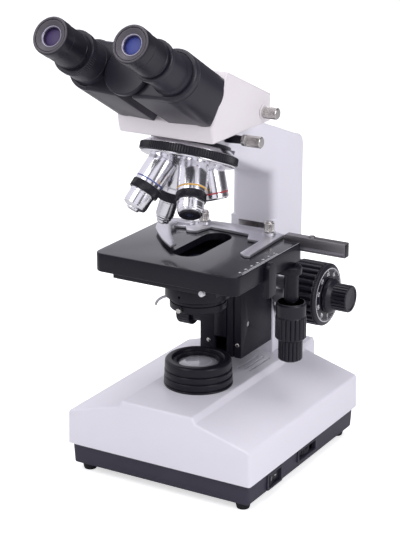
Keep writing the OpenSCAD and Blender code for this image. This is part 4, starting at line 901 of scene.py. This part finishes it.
for i in range(ruler["numbers"]):
    spot = shift(ruler["numberX"], ruler["y"] - i * 10, stage["high"] + ruler["lift"])
    tableParts.append(digits(str(i * 10), spot @ turn("Z", 90), ruler["numberSize"]))
assemble("stagePlate", "stage", "stage_plate", "stage_paint", *tableParts)

# pieces that keep the CAD's form: edge width in millimetres and the round's steps
cadFormed = [("stage_rails", "stageRails", 0.3, 2, "carrier", plainSteel, "plain_steel"),
             ("guide_block", "guideBlock", 1.1, 3, "stage", blackPaint, "black_paint"),
             ("xy_drop_tube", "xyDropTube", 0.6, 2, "stage", blackPaint, "black_paint"),
             ("slide_holder", "slideHolder", 0.25, 2, "slide_carriage", sheetMetal, "bright_chrome"),
             ("slide_finger", "slideFinger", 0.3, 2, "finger", sheetMetal, "bright_chrome"),
             ("condenser_slide", "condenserSlide", 0.5, 2, "condenser", blackPaint, "black_paint"),
             ("filter_holder", "filterHolder", 0.5, 2, "filter_swing", blackPaint, "black_paint"),
             ("nosepiece_mount", "nosepieceMount", 0.25, 1, "stand", blackPaint, "black_paint")]
for node, name, edge, steps, body, finish, slotName in cadFormed:
    dress(softened(node, edge, name, steps), body, finish, node, slotName)

# the two coaxial grips of the moving stage
drives = {"at": (70, 40, 0),
          "y": {"line": [(4.05, 121, 0.2), (12.9, 121), (13.7, 121.8), (13.7, 140.6, 0.8),
                         (13.1, 141.6), (13.3, 152.4, 0.8), (12.4, 154, 0.8), (4.05, 154, 0.2)],
                "flutes": [{"count": 20, "z0": 121.5, "z1": 141.2, "depth": 1.15, "inner": 11,
                            "run": 0.8, "steps": 12, "power": 6}]},
          "yTop": {"line": [(4.1, 153.7), (12.3, 153.7), (12.1, 154.0), (4.1, 154.0)], "soft": 0.05,
                   "sides": 64},
          "x": {"line": [(0, 99.5), (6.8, 99.5, 0.6), (10.0, 101.2, 0.8), (10.7, 102.2, 0.5),
                         (10.7, 119.6, 0.6), (9.9, 120.5, 0.3), (2.0, 120.5, 0.2), (2.0, 185.5),
                         (0, 185.5)],
                "flutes": [{"count": 18, "z0": 101.6, "z1": 120.1, "depth": 1.0, "inner": 8.6,
                            "run": 0.8, "steps": 12, "power": 6}]}}
driveAt = shift(*drives["at"])
assemble("yKnob", "y_drive", "y_knob", "black_plastic", (drives["y"], driveAt, blackPlastic),
         (drives["yTop"], driveAt, paleFace))
assemble("xKnob", "x_drive", "x_knob", "black_plastic", (drives["x"], driveAt, blackPlastic))

# the rail is dark; its upward and forward faces, turned to the lamps, are painted a paler metal as
# painted light, and the groove at its right end is paler still as a painted highlight
railCut = {"edge": 0.5, "upright": 202, "grooveZ": (195.9, 198.4), "grooveY": 60.8, "grooveX": 49.8}
rail = coloured(softened("x_rail", railCut["edge"], "xRail"), blackPaint, railPaintedLight, railPaintedHighlight)
facing, middle = faceRows(rail, "normal"), faceRows(rail, "center") / mm
# painted highlight: the groove's faces at the rail's right end
grooveHighlight = ((middle[:, 2] > railCut["grooveZ"][0]) & (middle[:, 2] < railCut["grooveZ"][1])
            & (middle[:, 1] < railCut["grooveY"]) & (middle[:, 0] > railCut["grooveX"]))
# painted light: faces turned up or forward, and those above the upright height, get the paler metal
paintedLitFaces = (facing[:, 2] > 0.5) | (facing[:, 1] < -0.5) | (middle[:, 2] > railCut["upright"])
paintFaces(rail, np.where(grooveHighlight, 2, np.where(paintedLitFaces, 1, 0)))
settle(rail, "slide_carriage", "x_rail", "black_paint")

thumb = {"x": {"Left": -27, "Right": 38.7}, "y": 56, "soft": 0.2,
         "line": [(0, 203.8), (2.6, 203.8), (2.6, 208.4), (4.0, 208.4), (4.6, 209.0), (4.6, 215.6),
                  (4.0, 216.4), (3.6, 216.4), (3.6, 217.3), (3.0, 217.9), (0, 217.9)],
         "flutes": [{"count": 24, "z0": 208.9, "z1": 216.0, "depth": 0.45, "inner": 4.1, "run": 0.3}]}
for word, x in thumb["x"].items():
    assemble("thumbScrew" + word, word.lower() + "_thumb_screw", "holder_screw_" + word.lower(),
             "bright_chrome", (thumb, shift(x, thumb["y"]), knurlChrome))
print("stage ready")

# condenser: its barrel, top lens, focusing knob and clamp screw
condenser = {
    "body": {"line": [(9, 149.8), (24.2, 149.8), (25, 150.6), (25, 156, 0.3), (21, 156), (21, 159.5),
                      (25, 159.5, 0.3), (25.9, 161, 0.3), (25.9, 173.5), (25.4, 174), (22, 174),
                      (15, 184), (13, 184.2), (13, 192.4), (12.4, 193), (10.6, 193), (10.6, 187),
                      (9, 187)], "sides": 128},
    "lens": {"line": [(0, 195), (5, 194.8, 2), (9, 193.5, 1), (10.4, 192), (10.4, 187), (0, 187)],
             "soft": 0.8, "sides": 64},
    "knobAt": (0, 52.375, 120),
    "knob": {"line": [(0, 22), (6, 22), (6, 35), (9.8, 35), (10.6, 35.8), (10.6, 48), (9.9, 49, 0.5),
                      (8.2, 49, 0.3), (7.6, 48.5, 0.3), (0, 48.5)],
             "flutes": [{"count": 24, "z0": 35.6, "z1": 48.6, "depth": 0.8, "inner": 9.2, "run": 0.6,
                         "steps": 10, "power": 5}]},
    "spindle": {"line": rectangle(0, -20.5, 2.5, 22.4), "soft": 0.1, "sides": 32},
    "screwAt": (-3, -19, 153),
    "screw": {"line": [(0, 0), (1.25, 0), (1.25, 6.4), (2.0, 6.4), (2.4, 6.8), (2.4, 9.5), (2.0, 10),
                       (0, 10)], "soft": 0.2,
              "flutes": [{"count": 16, "z0": 6.6, "z1": 9.8, "depth": 0.3, "inner": 1.9, "run": 0.3}]}}
assemble("condenserBody", "condenser", "condenser_body", "black_paint",
         (condenser["body"], shift(), blackPaint))
assemble("condenserLens", "condenser", "condenser_lens", "clear_glass",
         (condenser["lens"], shift(), frontGlass))
knobAt = shift(*condenser["knobAt"]) @ turn("Y", -90)
assemble("condenserKnob", "condenser_drive", "condenser_knob", "black_plastic",
         (condenser["knob"], knobAt, blackPlastic), (condenser["spindle"], knobAt, plainSteel))
assemble("condenserScrew", "condenser_clamp", "condenser_screw", "bright_chrome",
         (condenser["screw"], shift(*condenser["screwAt"]) @ turn("X", 90), knurlChrome))

iris = {"line": rectangle(21.4, 156.4, 24.5, 159.1), "out": (23.5, 36, 38.0),
        "height": (157.5, 156, 148.2), "towards": 200, "radius": 1.15}
# the lever's path is a quadratic curve from the ring, with its out and height by s from 0 to 1
s = np.linspace(0, 1, 15)
weights = np.stack([(1 - s) ** 2, 2 * s * (1 - s), s ** 2], 1)
out, lean = weights @ iris["out"], math.radians(iris["towards"])
path = np.stack([out * math.cos(lean), out * math.sin(lean), weights @ iris["height"]], 1)
assemble("irisLever", "iris", "iris_lever", "black_paint", (iris, shift(), blackPaint),
         coloured(tube("lever", path, iris["radius"], 20), plainSteel))
print("condenser ready")

# nosepiece: a black gripping ring between a chrome bevel and a chrome flange, and a dome with bosses
turret = {
    "body": {"line": [(3.7, 33.3), (34.6, 33.3, 0.3), (35.6, 34.0, 0.5), (39.7, 37.0, 0.6),
                      (39.7, 37.6), (37.4, 37.6), (37.4, 44.4), (39.6, 44.4), (40.4, 44.9, 0.6),
                      (40.2, 46.2, 0.9), (37.6, 47.1, 1.6), (30, 48.3, 3), (18, 52.6, 4),
                      (8, 55.2, 1.5), (3.7, 55.2)], "sides": 144},
    "grip": {"line": chamfered(37.2, 42, 37.6, 44.4, 0.8, 0.7), "soft": 0.25,
             "flutes": [{"count": 110, "z0": 38.0, "z1": 44.0, "depth": 0.8, "inner": 40, "run": 0.4,
                         "steps": 5}]},
    "boss": {"line": [(8, 47.7), (12.2, 47.7), (12.7, 48.4), (12.7, 54.2), (12.2, 54.7), (8, 54.7)],
             "soft": 0.25, "sides": 64}}
assemble("nosepiece", "turret", "nosepiece", "bright_chrome", (turret["body"], nose, chrome),
         (turret["grip"], nose, blackPlastic),
         *[(turret["boss"], place, chrome) for place in lensPlaces])

# objectives: stepped barrels with a colour band, a gripping ring and a lens end; heights run from
# the seat, and those named as parts are parts of the barrel's length
seatAt = 54.7
barrels = {
    "4x": {"place": 0, "band": redBand, "bandZ": 18.9, "bandWide": 1.3, "bandOut": 12.45,
           "line": [(6.5, -4), (7.95, -4), (7.95, 0.02), (12.1, 0.02), (12.5, 0.5), (12.5, 18.0, 0.1),
                    (12.3, 18.2, 0.1), (12.3, 23.6, 0.4), (11.2, 25.3, 0.5), (6.9, 25.3), (6.5, 24.6)],
           "front": {"line": [(0, 23.6), (3, 23.4, 1), (6.4, 22.2), (6.4, 21.3), (0, 21.3)],
                     "soft": 0.6, "sides": 48}},
    "10x": {"place": 1, "tip": 101, "band": yellowBand, "bandPart": 0.484, "bandWide": 1.3,
            "gripParts": (0.57, 0.72), "gripOut": 12.6, "below": 11.2, "end": 9.0, "coneFrom": 0.93,
            "blackEnd": True},
    "40x": {"place": 2, "tip": 104, "band": blueBand, "bandPart": 0.43, "bandWide": 1.0,
            "gripParts": (0.50, 0.66), "gripOut": 13.0, "below": 10.6, "end": 5.5, "coneFrom": 0.94,
            "blackEnd": False},
    "100x": {"place": 3, "tip": 108, "band": whiteBand, "bandPart": 0.33, "bandWide": 1.2,
             "gripParts": (0.42, 0.58), "gripOut": 12.6, "below": 8.0, "end": 5.4, "coneFrom": 0.90,
             "blackEnd": False}}


def longBarrel(lens, at):
    # the upper barrel, the lower one with its cone, the gripping ring between them and the band
    length = lens["tip"] - seatAt
    g0, g1 = (part * length for part in lens["gripParts"])
    bandZ, cone = lens["bandPart"] * length, lens["coneFrom"] * length
    below, end, tipLong = lens["below"], lens["end"], length - lens["coneFrom"] * length
    upper = [(5, -4), (7.95, -4), (7.95, 0.02), (12.1, 0.02), (12.5, 0.5), (12.5, bandZ - 0.25, 0.1),
             (12.25, bandZ, 0.1), (12.25, g0, 0.2), (5, g0)]
    lower = [(5, g1 - 0.1), (11.2, g1 - 0.1), (below + 0.25, g1 + 0.7, 0.5),
             (below + 0.25, g1 + 2.1, 0.4), (below, g1 + 2.5, 0.2), (below, cone - 2.6, 0.2),
             (below - 0.35, cone - 2.4, 0.2), (below - 0.35, cone - 1.0, 0.3), (below - 1.2, cone, 0.8),
             (end + 1.4, cone + tipLong * 0.32, 1.0), (end, cone + tipLong * 0.42, 0.5),
             (end, length - 0.8, 0.3), (end - 0.8, length, 0.3), (3.5, length), (3.5, length - 2.4),
             (5, length - 2.4)]
    flutes = {"count": 60, "z0": g0 + 0.3, "z1": g1 - 0.3, "depth": 0.45, "inner": 12, "run": 0.4}
    parts = [({"line": line, "soft": 0.25}, at, chrome) for line in (upper, lower)]
    parts += [({"line": chamfered(11.4, lens["gripOut"], g0, g1, 0.5, 0.5), "soft": 0.25,
                "flutes": [flutes]}, at, blackPlastic),
              colourBand(lens["band"], bandZ, lens["bandWide"], 12.42, at)]
    if lens["blackEnd"]:
        ring = [(3.4, length - 3.0), (end + 0.12, length - 3.0), (end + 0.12, length - 0.4),
                (end - 0.6, length + 0.02), (3.4, length + 0.02)]
        parts.append(({"line": ring, "soft": 0.2}, at, blackPaint))
    return parts


def colourBand(finish, z, wide, radius, at):
    return {"line": rectangle(12.0, z, radius, z + wide), "soft": 0.08}, at, finish


def tipLens(lens):
    z = lens["tip"] - seatAt
    return {"line": [(0, z - 0.3), (2, z - 0.35, 0.6), (3.4, z - 0.8), (3.4, z - 2.2), (0, z - 2.2)],
            "soft": 0.4, "sides": 32}


fronts = []
for key, lens in barrels.items():
    at = lensPlaces[lens["place"]] @ shift(z=seatAt)
    if "line" in lens:
        parts = [(lens, at, chrome),
                 colourBand(lens["band"], lens["bandZ"], lens["bandWide"], lens["bandOut"], at)]
        fronts.append((lens["front"], at, frontGlass))
    else:
        parts = longBarrel(lens, at)
        fronts.append((tipLens(lens), at, frontGlass))
    assemble("objective" + key, "turret", "objective_" + key, "bright_chrome", *parts)
assemble("objectiveLenses", "turret", "objective_lenses", "clear_glass", *fronts)
print("nosepiece and objectives ready")

# head: side outline with a slanted front; the rear upright edges are the roundest
headForm = {"half": 46,
            "outline": [(-52, 311, 2.5), (50, 311, 0.3), (50, 328, 4), (45.4, 334.3, 5),
                        (-29.5, 366.6, 2.5, 1.6), (-31.5, 366.6, 1.2, 1.6), (-55, 325.98, 2.5),
                        (-54, 319, 2.5)],
            "plan": mirrored([(46.03, -80, 0), (46.03, 50.03, 13.5)]),
            "neck": [(0, 307), (26.6, 307), (27, 307.4), (27, 312), (0, 312)],
            "plug": [(0, 301.3), (20.5, 301.3), (21, 301.8), (21, 308), (0, 308)]}
headBody = slab("headBody", headForm["outline"], -headForm["half"], headForm["half"], along("x"),
                corner=2, edge=2.8, steps=4)
unite(headBody, [cutter(headForm["plan"], 300, 380, shift(), arc=16)], "INTERSECT")
combine(headBody, *[turned(part, headForm[part], shift(), 0.2) for part in ("neck", "plug")])
dress(headBody, "head", headPaint, "head_body", "white_paint")

hinge = {"cap": {"line": [(0, 60), (6, 60), (6, 68.5), (18.9, 68.5), (19.5, 69.1), (19.5, 72.7, 0.5),
                          (18.7, 73.5, 0.5), (0, 73.5)]},
         "axle": {"line": rectangle(0, -29.5, 6, 61), "soft": 0.2, "sides": 48}}
assemble("hingeBracket", "head", "hinge_bracket", "grey_paint", (hinge["cap"], head, housingPlastic),
         (hinge["axle"], head, housingPlastic))

# prism housings: a drum with a parting line and a lid, a flat body towards the hinge, and its hub;
# the flat outline is written for the right and changes sides with its first number
housing = {"drum": [(0, 0.5), (21.0, 0.5), (21.5, 1.1), (21.5, 59.6, 0.5), (20.9, 60.1, 0.15),
                    (20.9, 61.1, 0.15), (21.5, 61.5, 0.3), (21.5, 65.6, 1.4), (20.2, 67, 1.0),
                    (18.6, 67, 0.3), (18.0, 66.6, 0.2), (0, 66.6)],
           "flat": [(37, 24.6, 2), (20.2, 24.6, 6), (4.4, 4.9, 5), (3.1, 2.4, 3), (3.1, -8, 3),
                    (6.1, -16.5, 2), (6.6, -19.0, 1.5), (37, -17.4, 1)],
           "slant": [(42.8, -1), (57.0, 18.1), (90, 18.1), (90, -1)],
           "flatFrom": 0.5, "flatTo": 67.6, "hubRadius": 13, "axleRoom": (6.05, -2, 120),
           "capRoom": (20.0, 68.1, 110)}
# what differs from side to side: the hub's ends along the hinge, the radius and ends of the room for
# the other hub, and the tube's top
sides = {1: {"word": "Right", "hub": (1, 38), "otherHub": (13.6, 38.3, 80),
             "top": [(12, 66), (17.9, 66), (17.5, 67.6, 0.8), (16.4, 70.5, 3), (16.2, 76, 2),
                     (16.2, 93.8, 0.3), (15.7, 94.3, 0.1), (17.3, 94.8, 0.3), (17.3, 98.2, 0.4),
                     (16.6, 99, 0.3), (12, 99)]},
         -1: {"word": "Left", "hub": (39, 67.3), "otherHub": (13.6, 0, 38.8),
              "top": [(12, 66), (18.4, 66), (17.6, 67.8, 0.8), (17.2, 70, 1.5), (17.2, 73.2, 0.4),
                      (16.8, 73.6, 0.2), (15, 73.7), (15, 96.5), (12, 96.5)]}}


def sided(outline, side):
    # the outline on its own side of the hinge
    return [(side * q[0],) + q[1:] for q in outline]


for side, own in sides.items():
    name = "prismHousing" + own["word"]
    drum = turned(name, housing["drum"], tubes[side], 0.3, 128)
    combine(drum, slab("flat", sided(housing["flat"], side), housing["flatFrom"], housing["flatTo"],
                       head, corner=2, edge=3.4, steps=5),
            turned("hub", chamfered(0, housing["hubRadius"], *own["hub"], 0.6, 0.6), head, 0.3, 64))
    carve(drum, rod("hubRoom", *own["otherHub"], head),
          rod("axleRoom", *housing["axleRoom"], head, 0.01, 48),
          rod("capRoom", *housing["capRoom"], head, 0.01, 96),
          cutter(sided(housing["slant"], side), -40, 40, head @ along("y")))
    word = own["word"].lower()
    assemble(name, word + "_tube", "housing_" + word, "grey_paint", coloured(drum, housingPlastic),
             ({"line": own["top"]}, tubes[side], housingPlastic))

dioptre = {"line": [(15.05, 74.1), (17.1, 74.1), (17.5, 74.6), (17.5, 88.1, 0.4), (17.2, 88.5, 0.2),
                    (17.9, 88.9), (18.3, 89.4), (18.3, 95.1), (17.6, 95.9, 0.4), (15.05, 95.9)],
           "soft": 0.25,
           "flutes": [{"count": 64, "z0": 89.1, "z1": 95.5, "depth": 0.40, "inner": 17, "run": 0.4,
                       "power": 2}]}
assemble("dioptreRing", "dioptre", "dioptre_ring", "grey_paint", (dioptre, tubes[-1], housingPlastic))

# eyepieces: a barrel with fine ribs, a grey bezel, a lilac ring and the eye lens
eyepiece = {
    "leftLower": 2.5,
    "barrel": {"line": [(9.5, 78), (11.6, 78), (11.6, 99.4), (14.9, 99.6), (15.2, 100.0, 0.3),
                        (15.2, 102.4, 0.3), (14.8, 102.9, 0.2), (14.95, 103.4, 0.2),
                        (14.95, 121.8, 0.2), (14.6, 122.1, 0.1), (14.6, 122.7, 0.1), (15.4, 123.0, 0.3),
                        (15.5, 131.6, 1.6), (15.3, 133.0, 0.6), (14.9, 133.2, 0.1), (13.5, 133.2, 0.1),
                        (13.5, 127.2, 0.2), (9.5, 127.2)], "soft": 0.2,
               "flutes": [{"count": 120, "z0": 103.6, "z1": 121.6, "depth": 0.12, "inner": 14,
                           "run": 0.5, "steps": 3}]},
    "bezel": {"line": [(8.7, 126.9), (13.4, 126.9), (13.45, 133.0), (14.9, 133.1), (14.9, 133.6, 0.3),
                       (14.2, 133.95, 0.3), (13.5, 133.7, 0.2), (13.2, 133.2, 0.1), (13.15, 132.2, 0.1),
                       (12.8, 132.2, 0.1), (12.7, 133.1, 0.3), (12.2, 133.1, 0.3), (9.0, 131.5, 0.4),
                       (8.7, 131.1, 0.2)], "soft": 0.15},
    "ring": {"line": [(7.4, 126.9), (8.7, 126.9), (8.7, 131.3, 0.2), (8.0, 131.2, 0.3),
                      (7.5, 130.6, 0.3), (7.4, 130.0)], "soft": 0.2},
    "lens": {"line": [(0, 128.6), (3, 128.5, 2), (6, 128.0, 2), (9.4, 127.4), (9.4, 127.2), (0, 127.2)],
             "soft": 1.0}}
for side, own in sides.items():
    place = tubes[side] @ shift(z=min(side, 0) * eyepiece["leftLower"])
    word = own["word"].lower()
    assemble("eyepiece" + own["word"], word + "_eyepiece", "eyepiece_" + word, "black_plastic",
             (eyepiece["barrel"], place, blackPlastic), (eyepiece["bezel"], place, bezelGrey),
             (eyepiece["ring"], place, lilacRing))
    assemble("eyeLens" + own["word"], word + "_eyepiece", "eye_lens_" + word, "clear_glass",
             (eyepiece["lens"], place, eyeGlass[side]))

# the head's two screws: each ends in a knurled knob
sideScrew = {
    "at": (46.2, 28, 322), "shank": {"line": rectangle(0, -5.5, 2.45, 0.5), "soft": 0.1, "sides": 32},
    "boss": {"line": [(0, 0), (5.8, 0), (6, 0.2), (6, 0.9), (5.8, 1.2), (0, 1.2)], "sides": 64},
    "knob": {"line": [(0, 1.1), (4.4, 1.1), (4.4, 1.8), (5, 2.2), (5, 13.9), (4.2, 14.7), (0, 14.7)],
             "flutes": [{"count": 30, "z0": 2.1, "z1": 14.1, "depth": 0.45, "inner": 4.4, "run": 0.4}]}}
clampScrew = {
    "neck": {"line": [(0, 21.4), (2.45, 21.4), (2.45, 27.4), (4, 27.4), (4, 29, 0.5), (3.2, 43.3, 0.3),
                      (0, 43.3)], "soft": 0.2, "sides": 48},
    "knob": {"line": [(0, 43), (4.2, 43), (4.8, 43.6), (4.9, 46.4, 0.2), (4.5, 46.9, 0.1),
                      (4.5, 47.5, 0.1), (4.9, 47.9, 0.2), (4.9, 60.2), (4.1, 61), (0, 61)],
             "flutes": [{"count": 34, "z0": 47.8, "z1": 60.4, "depth": 0.45, "inner": 4.3,
                         "run": 0.4}]}}
sideAt = shift(*sideScrew["at"]) @ turn("Y", 90)
assemble("headSideScrew", "head_lock", "head_side_screw", "bright_chrome",
         (sideScrew["boss"], sideAt, headPaint), (sideScrew["shank"], sideAt, knurlChrome),
         (sideScrew["knob"], sideAt, knurlChrome))
assemble("headClampScrew", "head_clamp", "head_clamp_screw", "bright_chrome",
         (clampScrew["neck"], clampAt, blackPaint), (clampScrew["knob"], clampAt, knurlChrome))
print("head and eyepieces ready")

# the CAD nodes that stay as they are get their finishes
unchanged = {"base_screws": plainSteel, "transformer": ironCore, "lamp_holder": plainBrass,
             "halogen_lamp": prismGlass, "lamp_mirror": mirrorFace, "coarse_shaft": plainSteel,
             "head_prism": prismGlass}
for name, finish in unchanged.items():
    coloured(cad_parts[name], finish)

# floor: it glows for the camera only, and is darker where the pieces mirror it
floorLook = {"size": 6.0, "grey": 0.88, "cameraLift": 0.62, "mirrored": 0.70, "rough": 0.9}
white = (1, 1, 1)
bpy.ops.mesh.primitive_plane_add(size=floorLook["size"])
floor = bpy.context.object
floor.name = "floor"
net = newNet("paleFloor")
lift = net.mixColour(net.ray("Is Camera Ray"), rgb(white, 0), rgb(white, floorLook["cameraLift"]))
tone = net.mixColour(net.ray("Is Glossy Ray"), rgb(white, floorLook["grey"]),
                     rgb(white, floorLook["mirrored"]))
coloured(floor, net.surface(color=tone, rough=floorLook["rough"], metal=0.0, glow=lift, glowPower=1.0,
                            shine=0.0))

# the room is white to the eye; reflections see pale and dark uprights: their brightness is read
# from a ramp by the azimuth, which runs from 0 at -180 degrees to 1 at 180
room = {"level": 0.58, "tint": (0.93, 0.915, 1.0),
        "uprights": [(-180, 0.9), (-150, 1.0), (-130, 0.12), (-117, 0.12), (-108, 0.95), (-92, 0.95),
                     (-87, 0.08), (-79, 0.08), (-73, 1.0), (-44, 1.0), (-38, 0.08), (-28, 0.08),
                     (-20, 0.85), (8, 0.8), (20, 0.1), (60, 0.1), (90, 0.15), (116.3, 0.12),
                     (118.6, 0.95), (180, 0.9)]}
world = bpy.data.worlds.new("room")
bpy.context.scene.world = world
net = Net(world)
direction = net.add("ShaderNodeTexCoord", {}, {}, out="Generated")
x, y = (net.add("ShaderNodeSeparateXYZ", {}, {0: direction}, out=i) for i in range(2))
azimuth = net.add("ShaderNodeMath", {"operation": "ARCTAN2"}, {0: y, 1: x})
stops = [((spot + 180) / 360, rgb(room["tint"], level)) for spot, level in room["uprights"]]
uprights = net.ramp(stops, azimuth / (2 * math.pi) + 0.5)
seen = net.mixColour(net.ray("Is Glossy Ray"), rgb(room["tint"], room["level"]), uprights)
seen = net.mixColour(net.ray("Is Camera Ray"), seen, rgb(white))
background = net.add("ShaderNodeBackground", {}, {"Color": seen, "Strength": 1.0})
net.add("ShaderNodeOutputWorld", {}, {"Surface": background})


def aim(obj, spot, target):
    # puts a lamp or the camera at a spot in metres and points its -Z at the target
    obj.location = spot
    obj.rotation_euler = (Vector(target) - Vector(spot)).to_track_quat("-Z", "Y").to_euler()


lamps = {"target": (0, 0, 0.2),
         "panels": {"keyPanel": {"at": (-0.55, -1.15, 1.35), "size": (0.9, 0.9), "watts": 7.5},
                    "sidePanel": {"at": (1.5, -0.35, 0.9), "size": (0.7, 1.1), "watts": 8.5},
                    "topPanel": {"at": (0.0, 0.25, 1.7), "size": (1.2, 1.0), "watts": 10.5}}}
for name, panel in lamps["panels"].items():
    light = bpy.data.lights.new(name, "AREA")
    light.shape, light.energy = "RECTANGLE", panel["watts"]
    light.size, light.size_y = panel["size"]
    aim(addObject(name, light), panel["at"], lamps["target"])

view = {"eye": (0.726465, -1.222284, 0.659840), "target": (-0.016195, 0.030200, 0.172740),
        "lens": 116.61, "sensor": 36, "near": 0.05, "far": 20}
camera = addObject("camera", bpy.data.cameras.new("camera"))
camera.data.lens, camera.data.sensor_width = view["lens"], view["sensor"]
camera.data.clip_start, camera.data.clip_end = view["near"], view["far"]
aim(camera, view["eye"], view["target"])
bpy.context.scene.camera = camera
bpy.context.scene.view_settings.view_transform = "Standard"
print("floor, lamps and camera ready")
